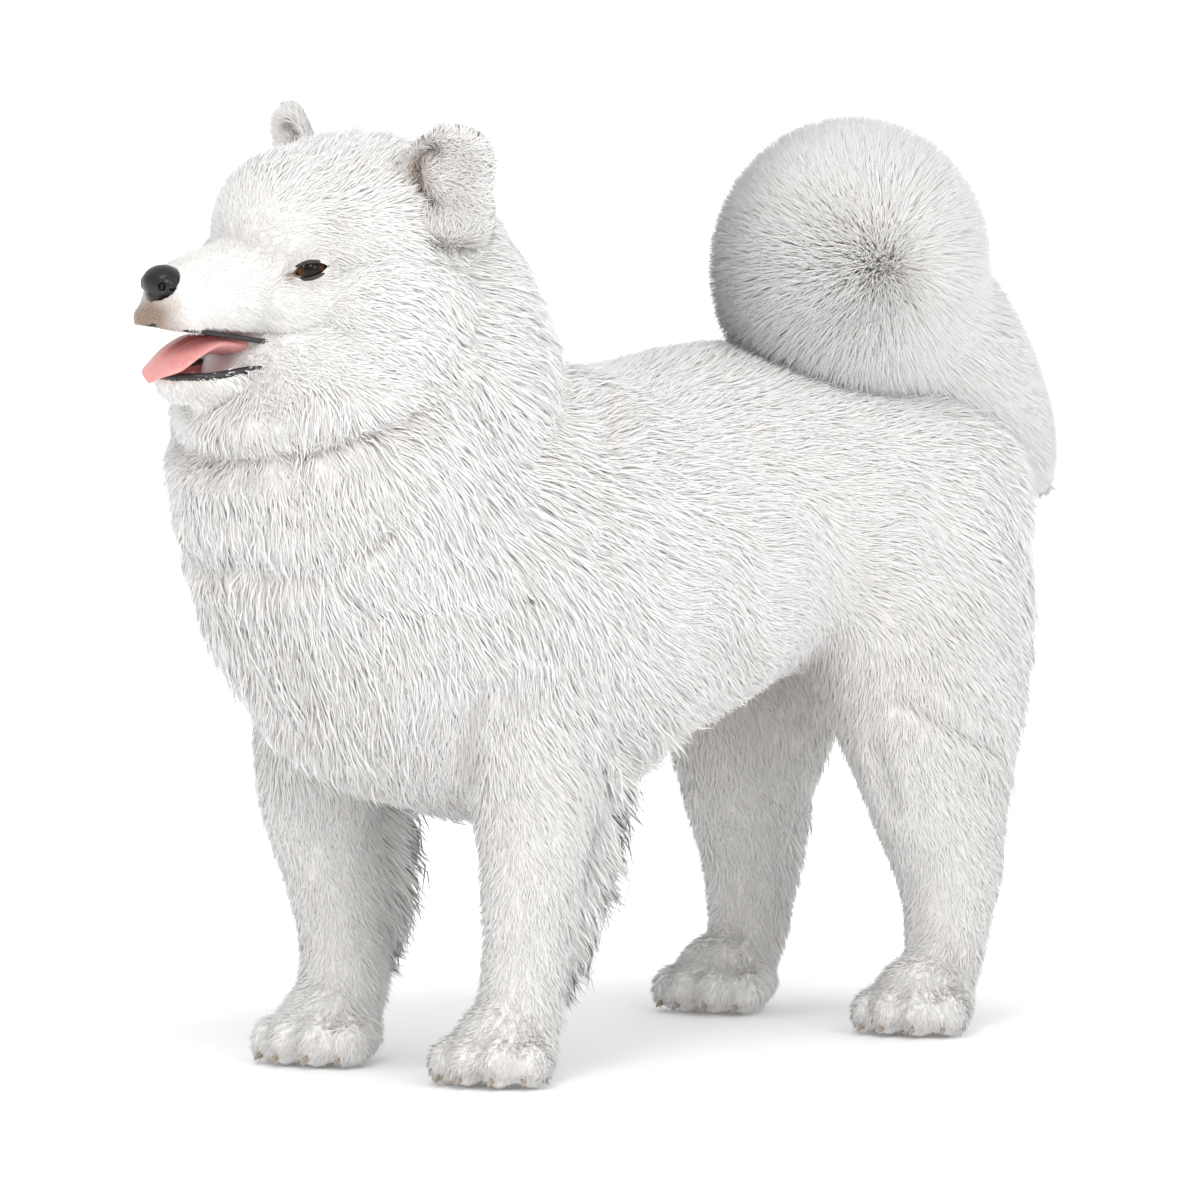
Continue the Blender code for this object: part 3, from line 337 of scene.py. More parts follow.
def sweptForm(rows, sides=36, rings=36, cap=0.16, matrix=None):
    # a sphere drawn out along rows of x, y, z, half width, half height
    deselect()
    bpy.ops.mesh.primitive_uv_sphere_add(segments=sides, ring_count=rings, radius=1)
    form = bpy.context.object
    points = coordinates(form.data)
    t = np.arccos(np.clip(points[:, 2], -1, 1)) / math.pi
    around = np.arctan2(points[:, 1], points[:, 0])
    here = alongRows(rows, t)
    after = alongRows(rows, np.minimum(t + 0.01, 1))[:, :3]
    before = alongRows(rows, np.maximum(t - 0.01, 0))[:, :3]
    ahead = unit(after - before)
    side = unit(np.array((1.0, 0.0, 0.0)) - ahead * ahead[:, :1])
    up = np.cross(side, ahead)
    ends = np.minimum(np.minimum(t, 1 - t) / cap, 1)
    full = np.sqrt(np.maximum(1 - (1 - ends) ** 2, 0))
    placed = (here[:, :3] + side * (np.cos(around) * here[:, 3] * full)[:, None]
              + up * (np.sin(around) * here[:, 4] * full)[:, None])
    form.data.vertices.foreach_set("co", placed.ravel())
    if matrix is not None:
        form.data.transform(matrix)
    recalculate(form)
    return form


def ballForm(centre, radii, matrix=None, turn=None, sides=32):
    deselect()
    bpy.ops.mesh.primitive_uv_sphere_add(segments=sides, ring_count=sides // 2, radius=1)
    form = bpy.context.object
    place = Matrix.Translation(centre) @ (turn or Matrix()) @ Matrix.Diagonal((*radii, 1))
    form.data.transform(matrix @ place if matrix is not None else place)
    return form


def blockForm(low, high):
    deselect()
    bpy.ops.mesh.primitive_cube_add(size=1)
    form = bpy.context.object
    low, high = Vector(low), Vector(high)
    form.data.transform(Matrix.Translation((low + high) / 2) @ Matrix.Diagonal((*(high - low), 1)))
    return form


def recalculate(piece):
    deselect()
    piece.select_set(True)
    bpy.context.view_layer.objects.active = piece
    bpy.ops.object.mode_set(mode="EDIT")
    bpy.ops.mesh.select_all(action="SELECT")
    bpy.ops.mesh.normals_make_consistent(inside=False)
    bpy.ops.object.mode_set(mode="OBJECT")


def applied(piece, kind, **settings):
    deselect()
    piece.select_set(True)
    bpy.context.view_layer.objects.active = piece
    modifier = piece.modifiers.new("step", kind)
    for name, value in settings.items():
        setattr(modifier, name, value)
    bpy.ops.object.modifier_apply(modifier=modifier.name)
    return piece


def fused(name, forms, voxel, smoothing):
    deselect()
    for form in forms:
        form.select_set(True)
    bpy.context.view_layer.objects.active = forms[0]
    bpy.ops.object.join()
    piece = bpy.context.object
    piece.name = name
    applied(piece, "REMESH", mode="VOXEL", voxel_size=voxel)
    return applied(piece, "SMOOTH", factor=0.5, iterations=smoothing)


def cut(piece, cutter, operation="DIFFERENCE", solver="EXACT"):
    applied(piece, "BOOLEAN", operation=operation, solver=solver, object=cutter)
    bpy.data.objects.remove(cutter)
    return piece


def treeOf(piece):
    return BVHTree.FromPolygons([v.co for v in piece.data.vertices],
        [p.vertices for p in piece.data.polygons])


def finishPiece(piece, slotName, *replaced):
    piece.data.transform(Matrix.Translation(stanceShift))
    pieces.append((piece, slotName, replaced))
    return piece


def smoothShaded(piece):
    for polygon in piece.data.polygons:
        polygon.use_smooth = True
    return piece


def mirroredRows(rows):
    return [(-row[0], *row[1:]) for row in rows]


def shiftedRows(rows, y, top=0.24):
    return [(row[0], row[1] + y * min(max(row[2] / top, 0), 1) ** 2, *row[2:]) for row in rows]


def thinnedRows(rows):
    return [(x, y, z, max(a - depth, 0.004), max(b - depth, 0.004)) for x, y, z, a, b, depth in rows]


# the skin of body, legs and paws: x, y, z, half width, half height,
# and how deep under the coat's tips it lies
bodyRows = {
    "torso": [
        (0.0, 0.470, 0.420, 0.066, 0.074, 0.006), (0.0, 0.428, 0.433, 0.122, 0.120, 0.006),
        (0.0, 0.344, 0.450, 0.147, 0.142, 0.005), (0.0, 0.250, 0.467, 0.150, 0.143, 0.004),
        (0.0, 0.130, 0.468, 0.147, 0.155, 0.003), (0.0, 0.000, 0.443, 0.158, 0.169, 0.003),
        (0.0, -0.100, 0.430, 0.165, 0.188, 0.004), (0.0, -0.200, 0.423, 0.168, 0.203, 0.006),
        (0.0, -0.290, 0.425, 0.163, 0.175, 0.010), (0.0, -0.370, 0.440, 0.135, 0.140, 0.013),
        (0.0, -0.430, 0.460, 0.070, 0.080, 0.015),
    ],
    "neck": [
        (0.0, -0.200, 0.360, 0.100, 0.100, 0.010), (0.0, -0.285, 0.430, 0.163, 0.163, 0.010),
        (0.0, -0.323, 0.490, 0.162, 0.163, 0.012), (0.0, -0.332, 0.560, 0.152, 0.182, 0.010),
        (0.0, -0.265, 0.620, 0.138, 0.148, 0.008), (0.0, -0.262, 0.680, 0.120, 0.100, 0.008),
        (0.0, -0.288, 0.735, 0.106, 0.086, 0.008), (0.0, -0.315, 0.790, 0.078, 0.068, 0.010),
    ],
    "foreleg": [
        (0.078, -0.212, 0.420, 0.075, 0.105, 0.010), (0.094, -0.216, 0.330, 0.066, 0.085, 0.008),
        (0.107, -0.224, 0.240, 0.051, 0.061, 0.006), (0.109, -0.228, 0.170, 0.043, 0.049, 0.0055),
        (0.109, -0.232, 0.105, 0.038, 0.041, 0.005), (0.109, -0.240, 0.030, 0.042, 0.046, 0.005),
        (0.109, -0.242, 0.010, 0.040, 0.044, 0.005),
    ],
    "foreFeather": [
        (0.104, -0.152, 0.330, 0.026, 0.048, 0.004), (0.106, -0.160, 0.240, 0.018, 0.042, 0.004),
        (0.108, -0.176, 0.160, 0.015, 0.032, 0.003), (0.109, -0.198, 0.080, 0.013, 0.022, 0.003),
    ],
    "hindleg": [
        (0.066, 0.286, 0.480, 0.080, 0.132, 0.010), (0.082, 0.294, 0.400, 0.078, 0.147, 0.010),
        (0.104, 0.292, 0.300, 0.068, 0.116, 0.008), (0.117, 0.294, 0.210, 0.053, 0.078, 0.007),
        (0.1225, 0.302, 0.135, 0.042, 0.052, 0.0055), (0.1225, 0.298, 0.063, 0.037, 0.039, 0.005),
        (0.1225, 0.290, 0.025, 0.038, 0.042, 0.005), (0.1225, 0.288, 0.010, 0.036, 0.040, 0.005),
    ],
    "hindFeather": [
        (0.112, 0.330, 0.310, 0.030, 0.064, 0.004), (0.119, 0.326, 0.220, 0.022, 0.052, 0.004),
        (0.1225, 0.322, 0.145, 0.017, 0.038, 0.003), (0.1225, 0.312, 0.085, 0.012, 0.026, 0.003),
    ],
}
# folds of the coat on one side, mirrored for the other: points, width, depth
bodyFolds = [
    ([(0.000, -0.500, 0.556), (0.042, -0.488, 0.561), (0.078, -0.470, 0.568), (0.108, -0.438, 0.581),
      (0.121, -0.398, 0.591), (0.132, -0.365, 0.620), (0.130, -0.333, 0.652)], 0.012, 0.011),
    ([(0.000, -0.484, 0.466), (0.042, -0.466, 0.460), (0.069, -0.461, 0.459), (0.089, -0.452, 0.467),
      (0.109, -0.448, 0.477), (0.120, -0.421, 0.491), (0.137, -0.410, 0.508)], 0.011, 0.009),
    ([(0.086, -0.455, 0.450), (0.094, -0.440, 0.438), (0.105, -0.413, 0.428), (0.119, -0.396, 0.430),
      (0.136, -0.367, 0.433), (0.151, -0.311, 0.430), (0.155, -0.262, 0.434)], 0.009, 0.006),
    ([(0.132, -0.312, 0.357), (0.138, -0.285, 0.352), (0.154, -0.270, 0.350),
      (0.158, -0.231, 0.348)], 0.007, 0.005),
    ([(0.128, -0.310, 0.344), (0.112, -0.303, 0.320), (0.098, -0.294, 0.297), (0.088, -0.285, 0.269),
      (0.078, -0.275, 0.240)], 0.010, 0.008),
    ([(0.147, 0.212, 0.309), (0.159, 0.239, 0.291), (0.167, 0.273, 0.272), (0.167, 0.304, 0.258),
      (0.161, 0.329, 0.250)], 0.008, 0.006),
    ([(0.127, 0.201, 0.266), (0.130, 0.211, 0.238), (0.129, 0.224, 0.205)], 0.008, 0.005),
    ([(0.179, -0.223, 0.293), (0.150, -0.170, 0.265), (0.122, -0.130, 0.235),
      (0.116, -0.120, 0.208)], 0.010, 0.007),
    ([(0.067, -0.096, 0.586), (0.103, -0.129, 0.564), (0.124, -0.160, 0.540), (0.140, -0.183, 0.515),
      (0.150, -0.185, 0.486), (0.155, -0.191, 0.461)], 0.018, 0.005),
    ([(0.029, -0.440, 0.400), (0.026, -0.423, 0.363), (0.017, -0.398, 0.325)], 0.012, 0.006),
    ([(0.153, -0.053, 0.380), (0.143, -0.018, 0.363), (0.133, 0.025, 0.355)], 0.014, 0.005),
]
legLean = {"foreLeft": 0.008, "foreRight": -0.045}
paws = {
    "foreLeft": ((0.109, -0.262), 22, 1.0), "foreRight": ((-0.109, -0.263), 14, 1.0),
    "hindLeft": ((0.1225, 0.264), 22, 0.97), "hindRight": ((-0.1225, 0.263), 14, 0.97),
}


def pawMatrix(name):
    (x, y), turn, size = paws[name]
    return (Matrix.Translation((x, y, 0)) @ Matrix.Rotation(math.radians(turn), 4, "Z")
            @ Matrix.Diagonal((size, size, size, 1)))


def pawForms(name):
    matrix = pawMatrix(name)
    forms = [ballForm((0, 0.010, 0.026), (0.048, 0.043, 0.028), matrix),
        ballForm((0, 0, 0.038), (0.038, 0.037, 0.033), matrix)]
    for side in (-1, 1):
        forms.append(ballForm((side * 0.0152, -0.0355, 0.0215), (0.0148, 0.0245, 0.0220), matrix))
        forms.append(ballForm((side * 0.0400, -0.0215, 0.0200), (0.0148, 0.0245, 0.0205), matrix))
    return forms


def gapTo(points, line):
    # the distance from each point to a line of points
    line = np.asarray(line, float)
    least = np.full(len(points), 1e3)
    for a, b in zip(line[:-1], line[1:]):
        share = np.clip(((points - a) @ (b - a)) / ((b - a) @ (b - a)), 0, 1)[:, None]
        least = np.minimum(least, np.linalg.norm(points - a - share * (b - a), axis=1))
    return least


def vertexNormals(mesh):
    normals = np.empty(3 * len(mesh.vertices))
    mesh.vertices.foreach_get("normal", normals)
    return normals.reshape(-1, 3)


def pressFolds(skin, folds):
    points, normals = coordinates(skin.data), vertexNormals(skin.data)
    push = np.zeros(len(points))
    for line, width, depth in folds:
        # the nearer of the two mirrored folds, so that they don't add up where they meet
        gap = np.minimum(gapTo(points, np.array(line)), gapTo(points, np.array(line) * (-1, 1, 1)))
        beside = (gap - 2.2 * width) / width
        push -= depth * np.exp(-((gap / width) ** 2)) - 0.35 * depth * np.exp(-(beside**2))
    skin.data.vertices.foreach_set("co", (points + normals * push[:, None]).ravel())
    skin.data.update()


def bodySkin():
    forms = [sweptForm(thinnedRows(bodyRows["torso"]), 48, 48, 0.10),
        sweptForm(thinnedRows(bodyRows["neck"]), 48, 32)]
    for name, side in (("foreLeft", 1), ("foreRight", -1)):
        for part in ("foreleg", "foreFeather"):
            rows = bodyRows[part] if side > 0 else mirroredRows(bodyRows[part])
            forms.append(sweptForm(thinnedRows(shiftedRows(rows, legLean[name]))))
    for part in ("hindleg", "hindFeather"):
        for rows in (bodyRows[part], mirroredRows(bodyRows[part])):
            forms.append(sweptForm(thinnedRows(rows)))
    for name in paws:
        forms += pawForms(name)
    skin = fused("bodySkin", forms, 0.0060, 4)
    pressFolds(skin, bodyFolds)
    cut(skin, blockForm((-1, -1, -1), (1, 1, 0.0012)))
    return skin


bodyPiece = bodySkin()
print("body skin", len(bodyPiece.data.polygons))


# the head in its own frame: x to its left, d ahead, z up, from the middle of the skull
headRows = {
    "muzzle": [
        (0, 0.020, -0.040, 0.071, 0.058), (0, 0.080, -0.041, 0.0655, 0.0530),
        (0, 0.130, -0.0425, 0.0505, 0.0440), (0, 0.178, -0.0465, 0.0410, 0.0345),
        (0, 0.204, -0.0555, 0.0350, 0.0275), (0, 0.2185, -0.0605, 0.0290, 0.0205),
    ],
    "jaw": [
        (0, 0.020, -0.103, 0.069, 0.046), (0, 0.085, -0.1145, 0.0595, 0.0335),
        (0, 0.140, -0.1170, 0.0445, 0.0255), (0, 0.186, -0.1180, 0.0320, 0.0205),
        (0, 0.2055, -0.1185, 0.0230, 0.0150),
    ],
    "mouth": [
        (0, 0.086, -0.0915, 0.090, 0.0045), (0, 0.135, -0.0940, 0.092, 0.0105),
        (0, 0.175, -0.0925, 0.092, 0.0175), (0, 0.225, -0.0900, 0.092, 0.0220),
        (0, 0.280, -0.0880, 0.092, 0.0240),
    ],
    "bed": [(0, 0.090, -0.1000, 0.040, 0.0060), (0, 0.125, -0.1060, 0.036, 0.0110),
            (0, 0.160, -0.1100, 0.028, 0.0120), (0, 0.196, -0.1120, 0.015, 0.0070)],
    "roof": [(0, 0.090, -0.0880, 0.040, 0.0060), (0, 0.130, -0.0790, 0.036, 0.0120),
             (0, 0.170, -0.0740, 0.028, 0.0100), (0, 0.200, -0.0720, 0.015, 0.0050)],
    "tongue": [
        (0, 0.094, -0.0930, 0.0260, 0.0070), (0, 0.130, -0.0895, 0.0290, 0.0085),
        (0.002, 0.160, -0.0860, 0.0290, 0.0075), (0.005, 0.185, -0.0900, 0.0290, 0.0058),
        (0.008, 0.206, -0.0995, 0.0265, 0.0046), (0.010, 0.220, -0.1085, 0.0200, 0.0040),
        (0.011, 0.2265, -0.1155, 0.0110, 0.0032),
    ],
}
headBalls = [
    ((0, 0.0, 0.006), (0.108, 0.112, 0.075)), ((0, -0.058, 0.006), (0.079, 0.075, 0.068)),
    ((0.070, -0.010, -0.058), (0.054, 0.074, 0.062)), ((-0.070, -0.010, -0.058), (0.054, 0.074, 0.062)),
    ((0.038, -0.072, -0.044), (0.044, 0.062, 0.050)), ((-0.038, -0.072, -0.044), (0.044, 0.062, 0.050)),
    ((0.074, -0.014, -0.098), (0.056, 0.073, 0.060)), ((-0.074, -0.014, -0.098), (0.056, 0.073, 0.060)),
    ((0.030, -0.090, -0.148), (0.046, 0.066, 0.034)), ((-0.030, -0.090, -0.148), (0.046, 0.066, 0.034)),
    ((0, -0.060, -0.160), (0.085, 0.085, 0.045)),
    ((0.017, -0.197, -0.064), (0.0185, 0.0235, 0.0175)), ((-0.017, -0.197, -0.064), (0.0185, 0.0235, 0.0175)),
]
eyeShape = {"radius": 0.0135, "length": 0.0162, "open": 0.0072, "lid": 0.0026}


def aheadRows(rows):
    return [(x, -d, z, a, b) for x, d, z, a, b in rows]


def headForm(name, sides=40, rings=32, cap=0.16):
    return sweptForm(aheadRows(headRows[name]), sides, rings, cap, headMatrix)


def eyeFrame(side):
    low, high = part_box("eye_left" if side > 0 else "eye_right")
    middle = (low + high) / 2 - stanceShift
    outward = (headMatrix.to_3x3() @ Vector((side * 0.72, -0.68, 0.05))).normalized()
    along = headMatrix.to_3x3() @ Vector((side * 0.62, 0.62, 0.30))
    along = (along - outward * along.dot(outward)).normalized()
    return middle, outward, along, Matrix((along, outward, along.cross(outward))).transposed().to_4x4()


def headSkin():
    inner = [(x, y, z, a, b, depth + 0.004) for x, y, z, a, b, depth in bodyRows["neck"]]
    forms = [headForm("muzzle"), headForm("jaw"), sweptForm(thinnedRows(inner), 48, 32)]
    forms += [ballForm(centre, radii, headMatrix, sides=40) for centre, radii in headBalls]
    r, lid = eyeShape["radius"], eyeShape["lid"]
    for side in (-1, 1):
        middle, outward, _, turn = eyeFrame(side)
        forms.append(ballForm(middle - outward * 0.001, (r + lid + 0.004, r + lid, r + lid), turn=turn))
    skin = fused("headSkin", forms, 0.0026, 4)
    cut(skin, blockForm((-1, -1, -1), (1, 1, 0.600)))
    whole = treeOf(skin)
    cut(skin, headForm("mouth", cap=0.06))
    cut(skin, headForm("bed"))
    cut(skin, headForm("roof"))
    cut(skin, ballForm((0, -0.2075, -0.0315), (0.0200, 0.0185, 0.0160), headMatrix, sides=40))
    applied(skin, "REMESH", mode="VOXEL", voxel_size=0.0023)
    applied(skin, "SMOOTH", factor=0.5, iterations=3)
    for side in (-1, 1):
        middle, outward, _, turn = eyeFrame(side)
        opening = sweptForm([
            (-eyeShape["length"] - 0.0012, 0, -0.0012, 0.0004, 0.0200),
            (-eyeShape["length"] * 0.62, 0, -0.0004, eyeShape["open"] * 0.66, 0.0200),
            (-0.001, 0, 0.0004, eyeShape["open"], 0.0200),
            (eyeShape["length"] * 0.60, 0, 0.0006, eyeShape["open"] * 0.66, 0.0200),
            (eyeShape["length"], 0, 0.0014, 0.0004, 0.0200),
        ], 28, 28, 0.05)
        # the sweep runs along x, so its width points up and its height out of the eye
        recalculate(opening)
        opening.data.transform(Matrix.Translation(middle + outward * 0.012) @ turn)
        cut(skin, opening)
        cut(skin, ballForm(middle, (r + 0.0003,) * 3, sides=32))
    return skin, whole


headPiece, wholeHead = headSkin()
print("head skin", len(headPiece.data.polygons))
headTree = treeOf(headPiece)


def headPoint(x, d, z):
    return headMatrix @ Vector((x, -d, z))


def tubeAlong(name, points, radii, closed, material):
    # a smooth tube through the points
    curve = bpy.data.curves.new(name, "CURVE")
    curve.dimensions = "3D"
    curve.bevel_depth = 1.0
    curve.bevel_resolution = 4
    curve.use_fill_caps = True
    curve.resolution_u = 6
    spline = curve.splines.new("NURBS")
    spline.points.add(len(points) - 1)
    for point, place, radius in zip(spline.points, points, radii):
        point.co = (*place, 1)
        point.radius = radius
    spline.order_u = 4
    spline.use_cyclic_u = closed
    spline.use_endpoint_u = not closed
    tube = bpy.data.objects.new(name, curve)
    bpy.context.scene.collection.objects.link(tube)
    deselect()
    tube.select_set(True)
    bpy.context.view_layer.objects.active = tube
    bpy.ops.object.convert(target="MESH")
    tube = bpy.context.object
    tube.data.materials.clear()
    tube.data.materials.append(material)
    return smoothShaded(tube)


def joined(name, parts):
    deselect()
    for part in parts:
        part.select_set(True)
    bpy.context.view_layer.objects.active = parts[0]
    bpy.ops.object.join()
    bpy.context.object.name = name
    return bpy.context.object


def eyeAndRim(name, side):
    middle, outward, along, _ = eyeFrame(side)
    r = eyeShape["radius"]
    ball = ballForm(middle, (r,) * 3, sides=64)
    ball.name = name
    gaze = (outward * 0.96 + along * 0.16 - along.cross(outward) * 0.02).normalized()
    points = coordinates(ball.data) - np.array(middle)
    away = np.arccos(np.clip(unit(points) @ np.array(gaze), -1, 1)) / math.radians(75)
    setTone(ball.data, np.stack([np.clip(away, 0, 1), away * 0, away * 0], axis=1))
    # the clear front bulges a little
    bulge = np.clip(1 - away / 0.42, 0, 1)[:, None] ** 0.7 * 0.0011
    ball.data.vertices.foreach_set("co", (np.array(middle) + points * (1 + bulge / r)).ravel())
    ball.data.materials.append(eyeBrown)
    smoothShaded(ball)
    up = along.cross(outward)
    rim, radii = [], []
    for k in range(36):
        angle = 2 * math.pi * k / 36
        x = eyeShape["length"] * math.cos(angle)
        y = (eyeShape["open"] * math.sin(angle) * abs(math.sin(angle)) ** 0.35
             + 0.0012 * x / eyeShape["length"])
        out = math.sqrt(max((r + 0.0014) ** 2 - x * x - y * y, (0.42 * r) ** 2))
        rim.append(middle + along * x + up * y + outward * out)
        radii.append(0.0013 + 0.0005 * abs(math.sin(angle)))
    inner = middle - along * eyeShape["length"] + outward * (0.42 * r + 0.0012) - up * 0.0012
    duct = [inner + along * 0.0030 + outward * 0.0006, inner - along * 0.0010,
        inner - along * 0.0040 - up * 0.0012 - outward * 0.0010]
    parts = [tubeAlong(name + "Rim", rim, radii, True, darkLip),
        tubeAlong("duct", duct, [0.0022, 0.0019, 0.0006], False, darkLip)]
    return ball, joined(name + "Rim", parts)


def setTone(mesh, values):
    attribute = mesh.attributes.new("coatTone", "FLOAT_VECTOR", "POINT")
    attribute.data.foreach_set("vector", np.asarray(values, np.float32).ravel())


leftEye, leftRim = eyeAndRim("leftEye", 1)
rightEye, rightRim = eyeAndRim("rightEye", -1)


# lips, tongue and nose
def mouthEdge(d, upward):
    rows = np.array(headRows["mouth"], float)
    middle = np.interp(d, rows[:, 1], rows[:, 2])
    half = np.interp(d, rows[:, 1], rows[:, 4])
    return float(middle + (half if upward else -half))


def lipLine(upward, inward):
    halves = []
    offset = 0.0012 if upward else -0.0016
    for side in (1, -1):
        half = []
        for d in np.linspace(0.091, 0.200, 15):
            z = mouthEdge(d, upward) + offset
            spot, normal, _, _ = headTree.ray_cast(headPoint(side * 0.2, d, z),
                headPoint(0, d, z) - headPoint(side * 0.2, d, z))
            if spot is not None:
                half.append(spot - normal * inward)
        halves.append(half)
    front = []
    z = mouthEdge(0.21, upward) + offset
    for angle in (50, 25, 0, -25, -50):
        way = Vector((math.sin(math.radians(angle)), 0, 0))
        start = headPoint(way.x * 0.3, 0.18 + 0.3 * math.cos(math.radians(angle)), z)
        spot, normal, _, _ = headTree.ray_cast(start, headPoint(0, 0.18, z) - start)
        if spot is not None:
            front.append(spot - normal * inward)
    return halves[0] + front + halves[1][::-1]


def lips():
    upper = lipLine(True, 0.0010)
    lower = lipLine(False, -0.0006)
    upperRadii = [0.0018 + 0.0008 * abs(2 * k / (len(upper) - 1) - 1) for k in range(len(upper))]
    lowerRadii = [0.0030 + 0.0006 * math.sin(math.pi * k / (len(lower) - 1)) ** 0.5
        for k in range(len(lower))]
    parts = [tubeAlong("upperLip", upper, upperRadii, False, darkLip),
        tubeAlong("lowerLip", lower, lowerRadii, False, darkLip)]
    for ends in ((upper[0], lower[0]), (upper[-1], lower[-1])):
        corner = (ends[0] + ends[1]) / 2 - headMatrix.to_3x3() @ Vector((0, -1, 0)) * 0.004
        parts.append(tubeAlong("corner", [ends[0], corner, ends[1]], [0.0030, 0.0042, 0.0034], False,
            darkLip))
    return joined("lips", parts)


def tongueForm():
    tongue = headForm("tongue", 32, 32)
    points = coordinates(tongue.data)
    inverse = np.array(headMatrix.inverted())
    local = points @ inverse[:3, :3].T + inverse[:3, 3]
    middle = np.interp(-local[:, 1], [0.10, 0.16, 0.185, 0.206, 0.2265], [0.0, 0.002, 0.005, 0.008, 0.011])
    across = (local[:, 0] - middle) / 0.028
    local[:, 2] -= 0.0024 * np.exp(-(across / 0.12) ** 2)
    front = np.clip((-local[:, 1] - 0.165) / 0.045, 0, 1)
    local[:, 2] -= (0.0075 * front - 0.0022) * across**2
    matrix = np.array(headMatrix)
    tongue.data.vertices.foreach_set("co", (local @ matrix[:3, :3].T + matrix[:3, 3]).ravel())
    tongue.name = "tonguePiece"
    tongue.data.materials.append(tonguePink)
    applied(tongue, "SUBSURF", levels=1, render_levels=1)
    return smoothShaded(tongue)


def noseForm():
    forms = [ballForm((0, -0.2050, -0.0310), (0.0198, 0.0180, 0.0158), headMatrix, sides=48),
             ballForm((0, -0.2035, -0.0395), (0.0115, 0.0175, 0.0110), headMatrix, sides=48)]
    for side in (-1, 1):
        forms.append(ballForm((side * 0.0125, -0.2085, -0.0320), (0.0088, 0.0100, 0.0096), headMatrix,
            sides=32))
    nose = fused("nosePiece", forms, 0.0007, 4)
    for side in (-1, 1):
        turn = Matrix.Rotation(side * 0.85, 4, "Z")
        cut(nose, ballForm((side * 0.0162, -0.2190, -0.0325), (0.0040, 0.0064, 0.0043), headMatrix, turn,
            sides=24))
        cut(nose, ballForm((side * 0.0222, -0.2095, -0.0350), (0.0046, 0.0046, 0.0013), headMatrix, turn,
            sides=24))
    cut(nose, ballForm((0, -0.2245, -0.0420), (0.0008, 0.0036, 0.0130), headMatrix, sides=24))
    applied(nose, "REMESH", mode="VOXEL", voxel_size=0.0006)
    applied(nose, "SMOOTH", factor=0.5, iterations=3)
    nose.data.materials.append(noseBlack)
    return smoothShaded(nose)


lipPiece = lips()
tonguePiece = tongueForm()
nosePiece = noseForm()
print("eyes, lips, tongue and nose made")


# ears: a shell with a cup, in a frame of their own
earShape = {"place": (0.108, -0.020, 0.034), "width": 0.038, "height": 0.077, "thick": 0.0095,
    "turn": {1: 38, -1: 24}}


def earMatrix(side):
    x, d, z = earShape["place"]
    turn = (
        Matrix.Rotation(side * math.radians(earShape["turn"][side]), 4, "Z")
        @ Matrix.Rotation(side * math.radians(10), 4, "Y")
        @ Matrix.Rotation(math.radians(4), 4, "X")
    )
    matrix = headMatrix @ Matrix.Translation((side * x, -d, z)) @ turn
    return matrix @ Matrix.Diagonal((side, 1, 1, 1))


def earGroove():
    w, h = earShape["width"], earShape["height"]
    return [(x * w, 0, z * h) for x, z in ((-0.58, 0.62), (-0.80, 0.50), (-0.86, 0.37), (-0.76, 0.24),
        (-0.58, 0.12), (-0.34, 0.03))]


def earSkin(name, side):
    w, h, t = earShape["width"], earShape["height"], earShape["thick"]
    shell = sweptForm([
        (-0.14 * w, 0.006, -0.036, 1.10 * w, 2.4 * t), (-0.12 * w, 0.003, 0.00, 1.14 * w, 2.0 * t),
        (-0.08 * w, 0, 0.28 * h, 1.10 * w, 1.5 * t), (0.10 * w, 0, 0.54 * h, 0.92 * w, 1.2 * t),
        (0.34 * w, -0.001, 0.76 * h, 0.64 * w, 1.0 * t), (0.48 * w, -0.002, 0.90 * h, 0.36 * w, 0.7 * t),
    ], 32, 28)
    shell.name = name
    applied(shell, "REMESH", mode="VOXEL", voxel_size=0.0017)
    points = coordinates(shell.data)
    front = np.clip(-points[:, 1] / (0.6 * t), 0, 1)
    flat = points * (1, 0, 1)
    press = 0.0105 * np.exp(-((gapTo(flat, earGroove()) / 0.0048) ** 2))
    press += 0.0050 * np.exp(-(((points[:, 0] / (0.6 * w)) ** 2
        + ((points[:, 2] - 0.42 * h) / (0.34 * h)) ** 2)))
    points[:, 1] += press * front
    shell.data.vertices.foreach_set("co", points.ravel())
    shell.data.update()
    applied(shell, "SMOOTH", factor=0.5, iterations=2)
    shell.data.transform(earMatrix(side))
    recalculate(shell)
    return shell


leftEar, rightEar = earSkin("leftEarSkin", 1), earSkin("rightEarSkin", -1)

# the tail: bone, and the inner part of the plume that its long hair grows from
tailShape = {
    "centre": (0.050, 0.250, 0.690), "plume": (0.100, 0.146, 0.131), "core": 0.80,
    "bone": [
        (0.000, 0.385, 0.470, 0.046, 0.046), (0.002, 0.362, 0.555, 0.044, 0.044),
        (0.010, 0.322, 0.640, 0.040, 0.040), (0.022, 0.294, 0.705, 0.036, 0.036),
        (0.038, 0.252, 0.737, 0.034, 0.034), (0.052, 0.212, 0.718, 0.033, 0.033),
        (0.060, 0.196, 0.682, 0.032, 0.032), (0.068, 0.216, 0.650, 0.030, 0.030),
        (0.074, 0.252, 0.643, 0.022, 0.022),
    ],
    "fall": [
        (0.032, 0.230, 0.650, 0.074, 0.105), (0.036, 0.312, 0.640, 0.078, 0.104),
        (0.042, 0.390, 0.590, 0.068, 0.080), (0.048, 0.450, 0.536, 0.046, 0.052),
        (0.054, 0.502, 0.470, 0.014, 0.014),
    ],
}


